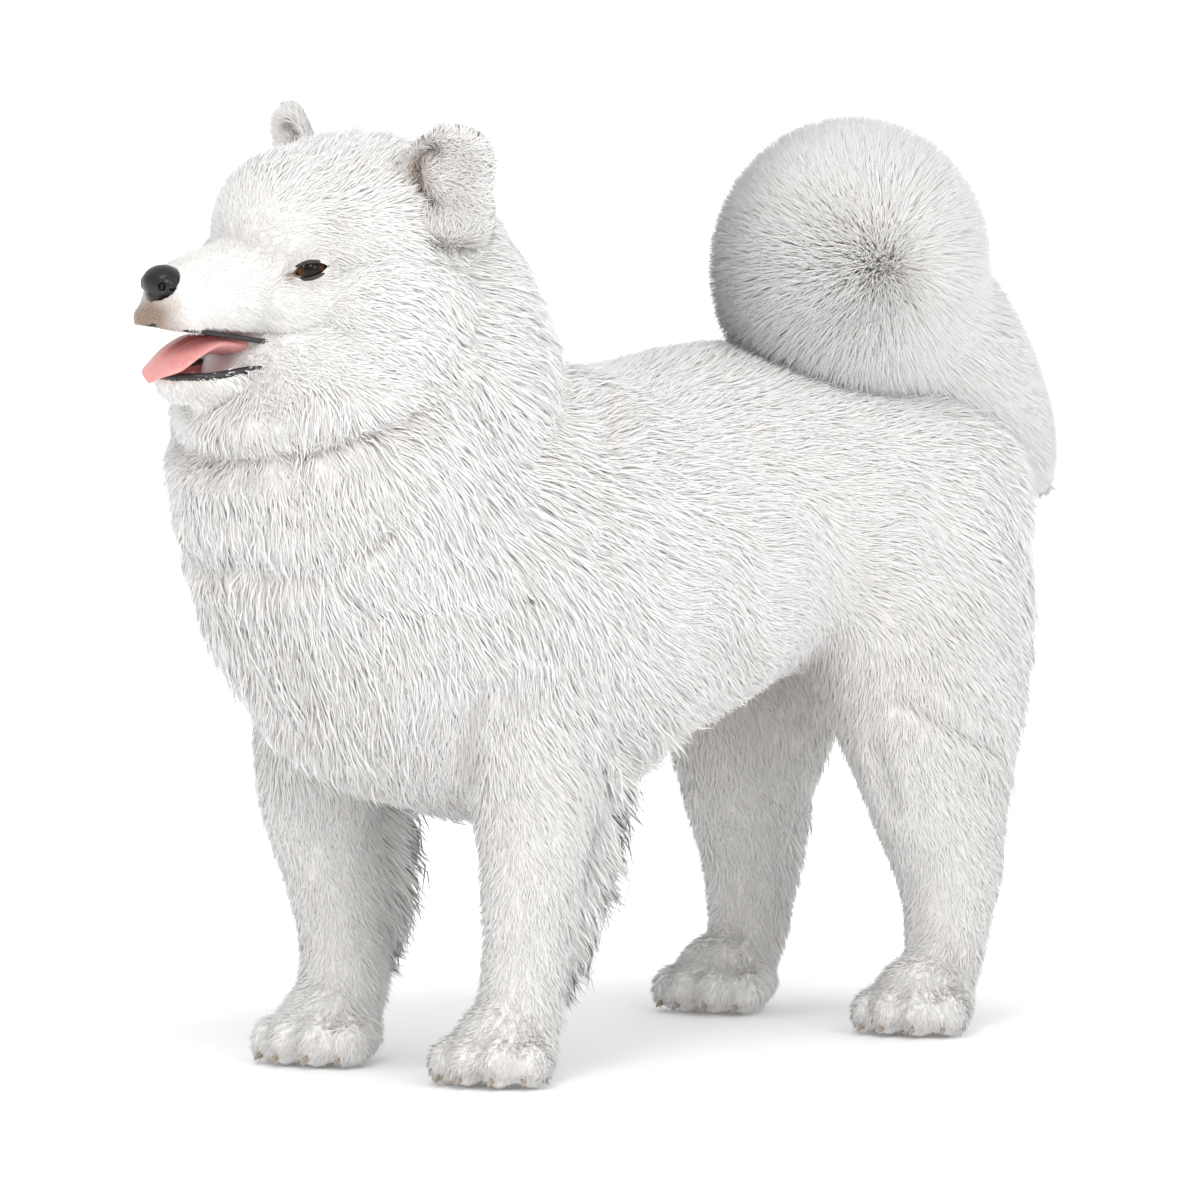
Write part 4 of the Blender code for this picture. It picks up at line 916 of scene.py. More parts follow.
def tailForms(share):
    bone = [(x, y, z, a - 0.008 * (share < 1), b - 0.008 * (share < 1))
            for x, y, z, a, b in tailShape["bone"]]
    fall = [(x, y, z, a * share, b * share) for x, y, z, a, b in tailShape["fall"]]
    return [sweptForm(bone, 24, 48, 0.06), sweptForm(fall, 32, 32, 0.10),
            ballForm(tailShape["centre"], [half * share for half in tailShape["plume"]])]


tailPiece = fused("tailSkin", tailForms(tailShape["core"]), 0.0060, 4)
plumeForm = fused("plumeGuide", tailForms(1.0), 0.0080, 3)
plumeTree = treeOf(plumeForm)
bpy.data.objects.remove(plumeForm)
print("ears and tail made")


# claws, one modelled and set on each toe
clawShape = {"rows": [(0, 0.0060, 0.0020, 0.0026, 0.0030), (0, 0.0010, 0.0018, 0.0024, 0.0028),
                      (0, -0.0030, 0.0002, 0.0016, 0.0019), (0, -0.0055, -0.0024, 0.0005, 0.0007)]}


def claws():
    parts = []
    for name in paws:
        matrix = pawMatrix(name)
        for side in (-1, 1):
            toes = ((side * 0.0152, -0.0590, 0.0075, 0), (side * 0.0405, -0.0440, 0.0070, side * 0.25))
            for x, y, z, turn in toes:
                place = matrix @ Matrix.Translation((x, y, z)) @ Matrix.Rotation(turn, 4, "Z")
                parts.append(sweptForm(clawShape["rows"], 12, 12, 0.2, place))
    piece = joined("claws", parts)
    piece.data.materials.append(clawHorn)
    return smoothShaded(piece)


clawPiece = claws()


# how the coat lies: x, y, z, then its way, then length and depth in mm,
# tufts to a square centimetre, width in mm
bodyGuides = [
    (0, -0.20, 0.61, 0, 1, -0.1, 30, 12, 18, 2.5), (0, 0.00, 0.60, 0, 1, -0.05, 22, 8.5, 20, 2.3),
    (0, 0.20, 0.60, 0, 1, -0.1, 22, 8.5, 20, 2.3), (0, 0.36, 0.58, 0, 1, -0.35, 26, 10, 19, 2.4),
    (0.10, -0.15, 0.56, 0.05, 0.9, -0.4, 28, 11, 18, 2.5),
    (0.10, 0.05, 0.57, 0.05, 1, -0.2, 22, 8.5, 20, 2.3),
    (0.10, 0.22, 0.57, 0.05, 1, -0.2, 22, 8.5, 20, 2.3), (0.16, -0.08, 0.44, 0, 0.9, -0.5, 26, 10, 19, 2.4),
    (0.15, 0.08, 0.45, 0, 0.95, -0.3, 22, 8.5, 20, 2.3), (0.15, 0.22, 0.46, 0, 0.9, -0.4, 22, 8.5, 20, 2.3),
    (0.14, 0.36, 0.46, 0, 0.6, -0.75, 26, 10, 19, 2.4), (0.15, 0.00, 0.33, 0, 0.85, -0.55, 28, 10, 18, 2.4),
    (0.08, 0.02, 0.285, 0, 0.7, -0.6, 30, 11, 17, 2.5), (0, 0.05, 0.28, 0, 0.8, -0.5, 28, 10, 16, 2.5),
    (0.05, 0.17, 0.31, 0, 0.7, -0.6, 22, 8, 17, 2.4), (0, -0.15, 0.23, 0, 0.6, -0.8, 40, 15, 15, 2.8),
    (0, 0.50, 0.46, 0, 0.25, -1, 32, 12, 17, 2.5), (0.08, 0.49, 0.40, 0, 0.15, -1, 32, 12.5, 17, 2.5),
    (0, 0.44, 0.33, 0, 0.25, -1, 30, 12, 16, 2.5), (0.11, 0.43, 0.33, 0, 0.25, -1, 30, 12, 17, 2.5),
    (0.13, 0.30, 0.36, 0, 0.45, -0.9, 22, 9, 20, 2.3), (0.15, 0.26, 0.28, 0, 0.2, -1, 17, 8, 23, 2.2),
    (0.13, 0.18, 0.30, 0, 0.05, -1, 18, 8, 23, 2.2), (0.04, 0.30, 0.30, 0, 0.3, -1, 17, 7, 19, 2.2),
    (0, -0.47, 0.50, 0, -0.15, -1, 36, 10, 16, 2.6), (0, -0.46, 0.40, 0, 0.1, -1, 38, 11, 16, 2.6),
    (0, -0.38, 0.29, 0, 0.5, -0.85, 44, 16, 16, 2.6), (0.10, -0.42, 0.42, 0.2, 0.15, -1, 38, 12, 16, 2.6),
    (0.155, -0.30, 0.42, 0.05, 0.45, -0.9, 34, 12.5, 17, 2.5),
    (0.15, -0.34, 0.52, 0.15, 0.35, -0.95, 36, 13, 17, 2.5),
    (0.15, -0.30, 0.60, 0.15, 0.5, -0.85, 34, 13, 17, 2.5),
    (0.13, -0.22, 0.64, 0.1, 0.75, -0.65, 32, 13, 17, 2.5),
    (0, -0.17, 0.68, 0, 0.85, -0.5, 34, 14, 17, 2.5), (0.07, -0.20, 0.72, 0.1, 0.85, -0.5, 32, 13, 17, 2.5),
    (0, -0.49, 0.60, 0, 0, -1, 30, 13, 18, 2.5), (0.09, -0.46, 0.60, 0.2, 0.2, -1, 30, 13, 18, 2.5),
    (0.172, 0.29, 0.22, 0, 0.15, -1, 14, 7, 26, 2.1), (0.1225, 0.235, 0.18, 0, 0.05, -1, 13, 6.5, 27, 2.1),
    (0.16, 0.30, 0.12, 0, 0.1, -1, 11, 6, 29, 2.0), (0.1225, 0.255, 0.10, 0, -0.05, -1, 10, 5.5, 30, 2.0),
    (0.08, 0.30, 0.20, 0, 0.2, -1, 13, 6, 25, 2.1), (0.118, 0.405, 0.26, 0, 0.45, -0.95, 36, 15, 19, 2.4),
    (0.1225, 0.365, 0.15, 0, 0.55, -0.9, 32, 14, 20, 2.3),
    (0.1225, 0.34, 0.08, 0, 0.4, -0.95, 18, 8, 24, 2.1),
    (0.1225, 0.225, 0.035, 0, -0.7, -0.6, 9, 5.6, 40, 1.7),
    (0.165, 0.25, 0.03, 0.4, -0.5, -0.7, 9, 5.6, 40, 1.7),
    (0.1225, 0.31, 0.03, 0, 0.4, -0.9, 9, 5, 34, 1.8),
]
foreGuides = [
    (0.17, -0.22, 0.34, 0, 0.35, -0.95, 24, 10, 17, 2.6), (0.13, -0.30, 0.33, 0.05, 0, -1, 20, 9, 19, 2.5),
    (0.155, -0.225, 0.20, 0, 0.2, -1, 13, 6.5, 23, 2.2), (0.109, -0.275, 0.18, 0, 0, -1, 11, 6, 25, 2.1),
    (0.065, -0.225, 0.20, 0, 0.2, -1, 13, 6, 22, 2.2), (0.147, -0.232, 0.10, 0, 0.15, -1, 11, 5.5, 25, 2.1),
    (0.109, -0.275, 0.09, 0, -0.1, -1, 10, 5.5, 26, 2.1),
    (0.107, -0.105, 0.26, 0, 0.8, -0.75, 54, 30, 16, 2.8),
    (0.108, -0.13, 0.17, 0, 0.8, -0.75, 52, 30, 17, 2.6),
    (0.109, -0.16, 0.09, 0, 0.7, -0.8, 40, 23, 18, 2.5),
    (0.109, -0.30, 0.035, 0, -0.7, -0.6, 9, 5.6, 34, 1.9),
    (0.155, -0.27, 0.03, 0.4, -0.5, -0.7, 9, 5.6, 34, 1.9),
    (0.109, -0.22, 0.03, 0, 0.4, -0.9, 9, 5, 29, 2.0),
]
headGuides = [
    (0, 0.215, -0.045, 0, -0.6, 0.4, 2.6, 0.8, 45, 1.2), (0, 0.225, -0.065, 0, -0.3, -1, 3, 0.9, 45, 1.2),
    (0.03, 0.215, -0.06, 0.5, -0.7, -0.5, 3.6, 1.3, 45, 1.3),
    (0.035, 0.18, -0.07, 0.3, -0.8, -0.7, 6, 2.6, 42, 1.6),
    (0.05, 0.14, -0.065, 0.3, -0.85, -0.5, 8, 3.4, 38, 1.7), (0, 0.18, -0.008, 0, -1, 0.1, 5, 2.4, 42, 1.6),
    (0.03, 0.15, -0.02, 0.2, -1, 0, 6, 3, 39, 1.7), (0, 0.12, 0.01, 0, -0.8, 0.5, 8, 4, 36, 1.7),
    (0.04, 0.115, 0.0, 0.3, -0.8, 0.4, 7, 3, 38, 1.7),
    (0.065, 0.10, -0.045, 0.4, -0.9, -0.2, 8, 3.4, 36, 1.7), (0, 0.08, 0.06, 0, -0.8, 0.6, 15, 11, 32, 2.0),
    (0.05, 0.06, 0.06, 0.25, -0.9, 0.4, 15, 10, 30, 2.0), (0.09, 0.06, 0.01, 0.4, -0.9, 0, 12, 6, 30, 2.0),
    (0, 0.0, 0.085, 0, -1, 0.15, 20, 14, 26, 2.3), (0.07, 0.0, 0.075, 0.2, -0.9, 0.3, 20, 14, 26, 2.3),
    (0, -0.07, 0.075, 0, -1, -0.15, 24, 11, 20, 2.8),
    (0.10, 0.03, -0.05, 0.3, -0.85, -0.5, 17, 8.5, 24, 2.5),
    (0.085, 0.09, -0.09, 0.3, -0.85, -0.5, 12, 5.5, 30, 2.0),
    (0.12, -0.03, -0.06, 0.25, -0.8, -0.65, 24, 11, 20, 2.8),
    (0.11, -0.02, -0.11, 0.2, -0.7, -0.8, 26, 11, 18, 2.8),
    (0.11, -0.07, 0.0, 0.25, -0.85, -0.4, 26, 11, 19, 2.8),
    (0, 0.205, -0.135, 0, -0.3, -1, 8, 3.6, 36, 1.7),
    (0.035, 0.17, -0.13, 0.25, -0.75, -0.8, 10, 4.5, 34, 1.9),
    (0.05, 0.12, -0.13, 0.2, -0.8, -0.7, 12, 5.5, 32, 2.0),
    (0, 0.14, -0.155, 0, -0.8, -0.6, 13, 6, 30, 2.0), (0, 0.08, -0.18, 0, -0.6, -0.8, 22, 9, 20, 2.8),
]


def guideTable():
    rows = []
    for side in (1, -1):
        for row in bodyGuides:
            rows.append((side * row[0], row[1], row[2], side * row[3], *row[4:]))
        lean = legLean["foreLeft" if side > 0 else "foreRight"]
        for row in foreGuides:
            y = row[1] + lean * min(row[2] / 0.24, 1) ** 2
            rows.append((side * row[0], y, row[2], side * row[3], *row[4:]))
        for row in headGuides:
            place = headPoint(side * row[0], row[1], row[2])
            way = headMatrix.to_3x3() @ Vector((side * row[3], -row[4], row[5]))
            rows.append((*place, *way, *row[6:]))
    return np.array(rows)


guides = guideTable()
guides[:, 3:6] = unit(guides[:, 3:6])


def guided(points):
    # the lie, length, depth, number and width of the tufts at each point
    result = np.empty((len(points), 7))
    chunk = 20000
    for start in range(0, len(points), chunk):
        part = points[start:start + chunk]
        gap = ((part[:, None, :] - guides[None, :, :3]) ** 2).sum(axis=2)
        weight = 1 / (gap + 0.012**2) ** 2
        weight /= weight.sum(axis=1, keepdims=True)
        result[start:start + chunk] = weight @ guides[:, 3:]
    return result


# darker, warmer spots round the nose, across the muzzle's front and chin, along the lips to the mouth's
# corners and round the eyes, most at their inner corners; and painted shade between the hind legs, under the
# tail where it lies on the back, between the forelegs, in the ears and between the toes (painted shade in the
# folds is added below): place, radius, strength
tintAndShadeSpots = [
    (headPoint(0, 0.222, -0.060), 0.023, 0.90), (headPoint(0.018, 0.214, -0.066), 0.018, 0.65),
    (headPoint(-0.018, 0.214, -0.064), 0.018, 0.70), (headPoint(0.028, 0.206, -0.070), 0.010, 0.25),
    (headPoint(0.0, 0.199, -0.016), 0.009, 0.30), (headPoint(0.020, 0.203, -0.045), 0.008, 0.35),
    (headPoint(-0.020, 0.203, -0.045), 0.008, 0.35), (headPoint(0.018, 0.215, -0.122), 0.010, 0.45),
    (headPoint(-0.018, 0.215, -0.122), 0.010, 0.45), (headPoint(0.03, 0.19, -0.118), 0.009, 0.30),
    (headPoint(-0.03, 0.19, -0.118), 0.009, 0.30), (headPoint(0.056, 0.100, -0.098), 0.012, 0.45),
    (headPoint(-0.056, 0.100, -0.098), 0.012, 0.45), (headPoint(0.050, 0.125, -0.075), 0.007, 0.25),
    # the spots from (0.04, 0.20, 0.33) on are painted shade: between the hind legs, under the tail where it
    # lies on the back, and between the forelegs
    (headPoint(-0.050, 0.125, -0.075), 0.007, 0.25), (Vector((0.04, 0.20, 0.33)), 0.07, 0.30),
    (Vector((-0.04, 0.20, 0.33)), 0.07, 0.30), (Vector((-0.10, 0.22, 0.28)), 0.05, 0.20),
    (Vector((0.03, 0.34, 0.60)), 0.05, 0.14), (Vector((0.0, 0.30, 0.58)), 0.05, 0.14),
    (Vector((0.05, 0.44, 0.53)), 0.04, 0.14), (Vector((0.0, -0.27, 0.24)), 0.04, 0.12),
    (Vector((0.0, -0.33, 0.28)), 0.05, 0.10),
]
# painted shade in the ear's cup, darkest along its groove: x and z as shares of its half width and height,
# radius, strength
earShade = [
    (-0.52, 0.64, 0.005, 0.75), (-0.66, 0.60, 0.006, 0.5), (-0.80, 0.50, 0.005, 0.5),
    (-0.86, 0.38, 0.006, 0.9), (-0.78, 0.26, 0.007, 0.95), (-0.64, 0.16, 0.007, 0.95),
    (-0.46, 0.07, 0.007, 0.85), (-0.28, 0.0, 0.008, 0.5), (-0.2, 0.45, 0.022, 0.10),
    (0.2, 0.10, 0.016, 0.18),
]
for side in (1, -1):
    middle, outward, along, _ = eyeFrame(side)
    tintAndShadeSpots.append((middle + outward * 0.010 - along * 0.019, 0.007, 0.80))
    tintAndShadeSpots.append((middle + outward * 0.010 + along * 0.018, 0.005, 0.50))
    tintAndShadeSpots.append((middle + outward * 0.012, 0.016, 0.32))
    w, h, t = earShape["width"], earShape["height"], earShape["thick"]
    # painted shade in each ear's cup and groove
    for x, z, radius, strength in earShade:
        tintAndShadeSpots.append((earMatrix(side) @ Vector((x * w, -0.45 * t, z * h)), radius * 1.35, strength))
# painted shade between the toes, at the front of each paw
for name in paws:
    for x, z in ((0, 0.004), (0.0290, 0.004), (-0.0290, 0.004), (0, 0.016)):
        tintAndShadeSpots.append((pawMatrix(name) @ Vector((x, -0.055 + abs(x) * 0.35, z)), 0.0065, 0.35))


def tintAndShade(points):
    left = np.ones(len(points))
    for place, radius, strength in tintAndShadeSpots:
        gap = ((points - np.array(place)) ** 2).sum(axis=1)
        left *= 1 - strength * np.exp(-gap / radius**2)
    # painted shade along the coat's folds, on both sides
    for line, width, depth in bodyFolds:
        gap = np.minimum(gapTo(points, np.array(line)), gapTo(points, np.array(line) * (-1, 1, 1)))
        left *= 1 - min(14 * depth, 0.16) * np.exp(-((gap / (0.9 * width)) ** 2))
    return 1 - left


def ripple(points, size, seed):
    # a smooth number between about -1 and 1 that varies over the given size
    draw = np.random.default_rng(seed)
    ways = unit(draw.normal(size=(6, 3))) * (2 * math.pi / size) * draw.uniform(0.6, 1.4, (6, 1))
    return np.sin(points @ ways.T + draw.uniform(0, 6.28, 6)).sum(axis=1) / 3.2


def unwrapped(skin):
    deselect()
    skin.select_set(True)
    bpy.context.view_layer.objects.active = skin
    bpy.ops.object.mode_set(mode="EDIT")
    bpy.ops.mesh.select_all(action="SELECT")
    bpy.ops.uv.smart_project(angle_limit=math.radians(70), island_margin=0.004)
    bpy.ops.object.mode_set(mode="OBJECT")
    skin.data.uv_layers[0].name = "OFBake"


def rootsOn(skin, perSquareCentimetre, seed):
    # points spread over the skin, with their normals and their places on its unwrap
    mesh = skin.data
    mesh.calc_loop_triangles()
    count = len(mesh.loop_triangles)
    corners = np.empty(3 * count, int)
    mesh.loop_triangles.foreach_get("vertices", corners)
    loops = np.empty(3 * count, int)
    mesh.loop_triangles.foreach_get("loops", loops)
    points = coordinates(mesh)
    normals = vertexNormals(mesh)
    uv = np.empty(2 * len(mesh.loops))
    mesh.uv_layers["OFBake"].data.foreach_get("uv", uv)
    corners, loops, uv = corners.reshape(-1, 3), loops.reshape(-1, 3), uv.reshape(-1, 2)
    a, b, c = points[corners].transpose(1, 0, 2)
    areas = np.linalg.norm(np.cross(b - a, c - a), axis=1) / 2
    draw = np.random.default_rng(seed)
    number = int(areas.sum() * 1e4 * perSquareCentimetre)
    steps = (np.arange(number) + draw.random(number)) / number
    pick = np.minimum(np.searchsorted(np.cumsum(areas) / areas.sum(), steps), count - 1)
    u, v = draw.random((2, number))
    over = u + v > 1
    u[over], v[over] = 1 - u[over], 1 - v[over]
    weights = np.stack([1 - u - v, u, v], axis=1)[:, :, None]
    print(skin.name, "area", round(areas.sum() * 1e4), "square centimetres")
    return ((points[corners[pick]] * weights).sum(axis=1),
        unit((normals[corners[pick]] * weights).sum(axis=1)),
            (uv[loops[pick]] * weights).sum(axis=1))


def nearestOn(tree, points):
    spots, normals = np.empty_like(points), np.empty_like(points)
    for k, point in enumerate(points):
        spot, normal, _, _ = tree.find_nearest(point)
        spots[k], normals[k] = spot, normal
    return spots, normals


def insideOf(tree, points, margin=0.0):
    spots, normals = nearestOn(tree, points)
    return ((points - spots) * normals).sum(axis=1) < -margin


def gathered(starts, tips, each, pull, seed):
    # neighbouring tufts lean their tips together, as hair does
    draw = np.random.default_rng(seed)
    leaders = draw.choice(len(tips), max(2, int(len(tips) / each)), replace=False)
    tree = KDTree(len(leaders))
    for k in leaders:
        tree.insert(starts[k], int(k))
    tree.balance()
    mates = np.array([tree.find(point)[1] for point in starts])
    share = (pull * draw.uniform(0.3, 1.0, len(tips)))[:, None]
    aim = tips[mates] + (starts - starts[mates]) * 0.25
    return tips + (aim - tips) * share


def tuftMesh(name, start, middle, tip, startNormal, tipNormal, width, tones, uv, stops, roundness, seed):
    # closed three-sided tapering tufts, bent through start, middle and tip
    draw = np.random.default_rng(seed)
    count = len(start)
    roll = draw.uniform(-0.7, 0.7, count)[:, None]
    flat = draw.uniform(0.36, 0.60, count)[:, None]
    # hair that stands out from the skin is shaded more by its own faces than by the skin's
    standing = np.abs((unit(tip - start) * unit(startNormal + tipNormal)).sum(axis=1))[:, None]
    roundness = roundness + 0.6 * np.clip((standing - 0.30) / 0.35, 0, 1)
    points, normals, tone = [], [], []
    profile = {0.0: 1.0, 0.5: 0.85}
    for t in stops:
        centre = (1 - 2 * t) * (1 - t) * start + 4 * t * (1 - t) * middle + (2 * t - 1) * t * tip
        ahead = unit((4 * t - 3) * start + (4 - 8 * t) * middle + (4 * t - 1) * tip)
        out = unit(startNormal * (1 - t) + tipNormal * t)
        side = unit(np.cross(ahead, out))
        up = np.cross(side, ahead)
        side, up = side * np.cos(roll) + up * np.sin(roll), up * np.cos(roll) - side * np.sin(roll)
        half = width[:, None] * profile[t] / 2
        points += [centre - side * half - up * half * flat, centre + side * half - up * half * flat,
            centre + up * half * flat * 1.4]
        base = out * (1 - roundness)
        normals += [unit(base - (side * 0.87 + up * 0.3) * roundness),
            unit(base + (side * 0.87 - up * 0.3) * roundness), unit(base + up * roundness)]
        tone += [np.stack([np.full(count, t), tones[0], tones[1]], axis=1)] * 3
    points.append(tip)
    normals.append(tipNormal)
    tone.append(np.stack([np.ones(count), tones[0] * 0.8, tones[1]], axis=1))
    each = len(points)
    corners = np.stack(points, axis=1).reshape(-1, 3)
    corners[:, 2] = np.maximum(corners[:, 2], 0.0006)
    faces = [(0, 1, 2)]
    for ring in range(len(stops) - 1):
        for i, j in ((0, 1), (1, 2), (2, 0)):
            low, high = 3 * ring, 3 * ring + 3
            faces += [(low + i, high + i, high + j), (low + i, high + j, low + j)]
    last = 3 * len(stops) - 3
    faces += [(last + i, each - 1, last + j) for i, j in ((0, 1), (1, 2), (2, 0))]
    faces = np.array(faces)
    # the faces point outwards
    probe = corners.reshape(count, each, 3)[0]
    middlePoint = probe.mean(axis=0)
    volume = sum(np.dot(probe[a] - middlePoint, np.cross(probe[b] - middlePoint, probe[c] - middlePoint))
        for a, b, c in faces)
    if volume < 0:
        faces = faces[:, ::-1]
    allFaces = (faces[None] + (np.arange(count) * each)[:, None, None]).reshape(-1)
    mesh = bpy.data.meshes.new(name)
    mesh.vertices.add(len(corners))
    mesh.vertices.foreach_set("co", corners.astype(np.float32).ravel())
    mesh.loops.add(len(allFaces))
    mesh.loops.foreach_set("vertex_index", allFaces.astype(np.int32))
    mesh.polygons.add(len(allFaces) // 3)
    mesh.polygons.foreach_set("loop_start", np.arange(0, len(allFaces), 3, dtype=np.int32))
    mesh.update(calc_edges=True)
    setTone(mesh, np.stack(tone, axis=1).reshape(-1, 3))
    # each tuft is a small patch at its root's place on the skin's unwrap
    across = np.array([(k % 3 - 1) * 0.0011 for k in range(each - 1)] + [0.0])
    upward = np.array([stops[k // 3] * 0.0028 for k in range(each - 1)] + [0.0028])
    patch = uv[:, None, :] + np.stack([across, upward], axis=1)[None]
    layer = mesh.uv_layers.new(name="OFBake")
    layer.data.foreach_set("uv", patch.reshape(-1, 2)[allFaces].astype(np.float32).ravel())
    mesh.polygons.foreach_set("use_smooth", np.ones(len(allFaces) // 3, bool))
    mesh.normals_split_custom_set_from_vertices(np.stack(normals, axis=1).reshape(-1, 3))
    mesh.materials.append(coatWhite)
    coat = bpy.data.objects.new(name, mesh)
    bpy.context.scene.collection.objects.link(coat)
    return coat


coatTriangles = 0
heaviestCoat = 198000       # triangles in one piece of the coat


def addCoat(name, tufts, chosen, stops, roundness, seed):
    # one piece of the coat from the chosen tufts, thinned evenly where it would be too heavy
    global coatTriangles
    each = 6 * len(stops) - 2
    chosen = np.flatnonzero(chosen)
    draw = np.random.default_rng(seed)
    if len(chosen) * each > heaviestCoat:
        print(name, "thinned from", len(chosen))
        chosen = np.sort(draw.choice(chosen, heaviestCoat // each, replace=False))
    part = {key: values[chosen] for key, values in tufts.items()}
    count = len(chosen)
    # the first tone is the darker, warmer tint, painted shade in hollows and folds included
    tones = (tintAndShade(part["start"]), draw.random(count) ** 1.5)
    coat = tuftMesh(name, part["start"], part["middle"], part["tip"], part["normal"], part["tipNormal"],
                    part["width"] / 1000 * draw.uniform(0.75, 1.2, count), tones, part["uv"], stops,
                    roundness, seed)
    coat.data.transform(Matrix.Translation(stanceShift))
    pieces.append((coat, "coat", ()))
    coatTriangles += len(coat.data.polygons)
    print(name, count, "tufts", len(coat.data.polygons), "triangles")
    return coat


def lyingTufts(tree, spots, normals, uv, fields, bent, stretch, rise, wild, pull, each, seed):
    # tufts that follow the skin from root to tip, rising to the coat's depth
    draw = np.random.default_rng(seed)
    count = len(spots)
    lie = fields[:, :3] + wild[:, None] * unit(draw.normal(size=(count, 3)))
    across = np.cross(unit(fields[:, :3]), normals)
    lie += (0.30 * ripple(spots, 0.10, 71)[:, None] * across
            + 0.20 * ripple(spots, 0.035, 72)[:, None] * across)
    lie = unit(lie - normals * (lie * normals).sum(axis=1, keepdims=True))
    length = fields[:, 3] / 1000 * stretch * draw.uniform(0.72, 1.15, count)
    depth = (fields[:, 4] / 1000 * rise * draw.uniform(0.50, 1.15, count)
             * (1 + 0.12 * ripple(spots, 0.05, 73)))
    stray = draw.random(count) < 0.08
    depth[stray] *= 1.4
    endSpot, endNormal = nearestOn(tree, spots + lie * length[:, None])
    tip = endSpot + endNormal * depth[:, None]
    start = spots - normals * 0.0008
    tip = gathered(start, tip, each, pull, seed + 4)
    middle = (start + tip) / 2
    if bent:
        midSpot, midNormal = nearestOn(tree, spots + lie * length[:, None] * 0.5)
        middle = middle * 0.3 + (midSpot + midNormal * depth[:, None] * 0.80) * 0.7
    return {"start": start, "middle": middle, "tip": tip, "normal": normals, "tipNormal": endNormal,
        "uv": uv, "width": fields[:, 6]}


def only(keep, *arrays):
    return [values[keep] for values in arrays]


spikeStops, shortStops = (0.0,), (0.0, 0.5)
for skin in (bodyPiece, headPiece, tailPiece, leftEar, rightEar):
    unwrapped(skin)
    places = coordinates(skin.data)
    # the skins get the same darker, warmer tint, painted shade in hollows and folds included
    setTone(skin.data, np.stack([places[:, 0] * 0, np.clip(tintAndShade(places) * 1.2, 0, 1), places[:, 0] * 0],
        axis=1))
headTree = treeOf(headPiece)
print("skins unwrapped")
coatShare = {"body": 0.75, "legs": 0.66, "guard": 0.11, "face": 0.92}


def bodyCoat():
    tree = treeOf(bodyPiece)
    spots, normals, uv = rootsOn(bodyPiece, 26, 11)
    fields = guided(spots)
    draw = np.random.default_rng(12)
    share = np.interp(spots[:, 2], [0.26, 0.36], [coatShare["legs"], coatShare["body"]])
    # less where only other parts of the dog would see it
    share *= np.where((np.abs(spots[:, 0]) < 0.06) & (normals[:, 2] < -0.3) & (spots[:, 2] > 0.2), 0.75, 1.0)
    keep = draw.random(len(spots)) < fields[:, 5] * share / 26
    keep &= ~((normals[:, 2] < -0.6) & (spots[:, 2] < 0.012))
    spots, normals, uv, fields = only(keep, spots, normals, uv, fields)
    near = (spots[:, 2] > 0.56) & (spots[:, 1] < -0.13)
    hidden = np.zeros(len(spots), bool)
    hidden[near] = insideOf(wholeHead, spots[near] + normals[near] * 0.006)
    spots, normals, uv, fields = only(~hidden, spots, normals, uv, fields)
    wild = np.interp(fields[:, 3], [8, 14, 22], [0.42, 0.44, 0.28])
    x, y, z = spots.T
    tufts = lyingTufts(tree, spots, normals, uv, fields, False, 1.0, 1.0, wild, 0.24, 9, 13)
    ruff = (y < -0.16 + 0.35 * (z - 0.40)) & (z > 0.27)
    fore = (z < 0.27) & (y < 0.02) & (np.abs(x) > 0.03)
    hind = (z < 0.34) & (y > 0.09)
    torso = ~ruff & ~fore & ~hind
    rear, left = y > 0.16, x >= 0
    parts = (("ruffLeftPile", ruff & left), ("ruffRightPile", ruff & ~left),
             ("flankLeftPile", torso & left & ~rear), ("flankRightPile", torso & ~left & ~rear),
             ("rumpPile", torso & rear), ("forelegsPile", fore), ("hindlegsPile", hind))
    tufts["width"] = tufts["width"] * 0.85
    for name, chosen in parts:
        addCoat(name, tufts, chosen, spikeStops, 0.26 if "legs" in name else 0.18, 17)
    # longer, bent tufts over the pile where the coat is long
    long = np.clip((fields[:, 3] - 20) / 12, 0, 1)
    guard = np.random.default_rng(19).random(len(spots)) < coatShare["guard"] * (0.35 + long)
    guard &= fields[:, 3] > 24
    spots, normals, uv, fields, ruff, fore, hind = only(guard, spots, normals, uv, fields, ruff, fore, hind)
    tufts = lyingTufts(tree, spots, normals, uv, fields, True, 1.15, 1.08, np.full(len(spots), 0.25), 0.38,
        7, 23)
    tufts["width"] = tufts["width"] * 0.8
    addCoat("ruffLocks", tufts, ruff, shortStops, 0.2, 27)
    addCoat("bodyLocks", tufts, ~ruff & ~fore & ~hind, shortStops, 0.2, 28)
    addCoat("featherLocks", tufts, (fore | hind) & ~ruff, shortStops, 0.3, 29)


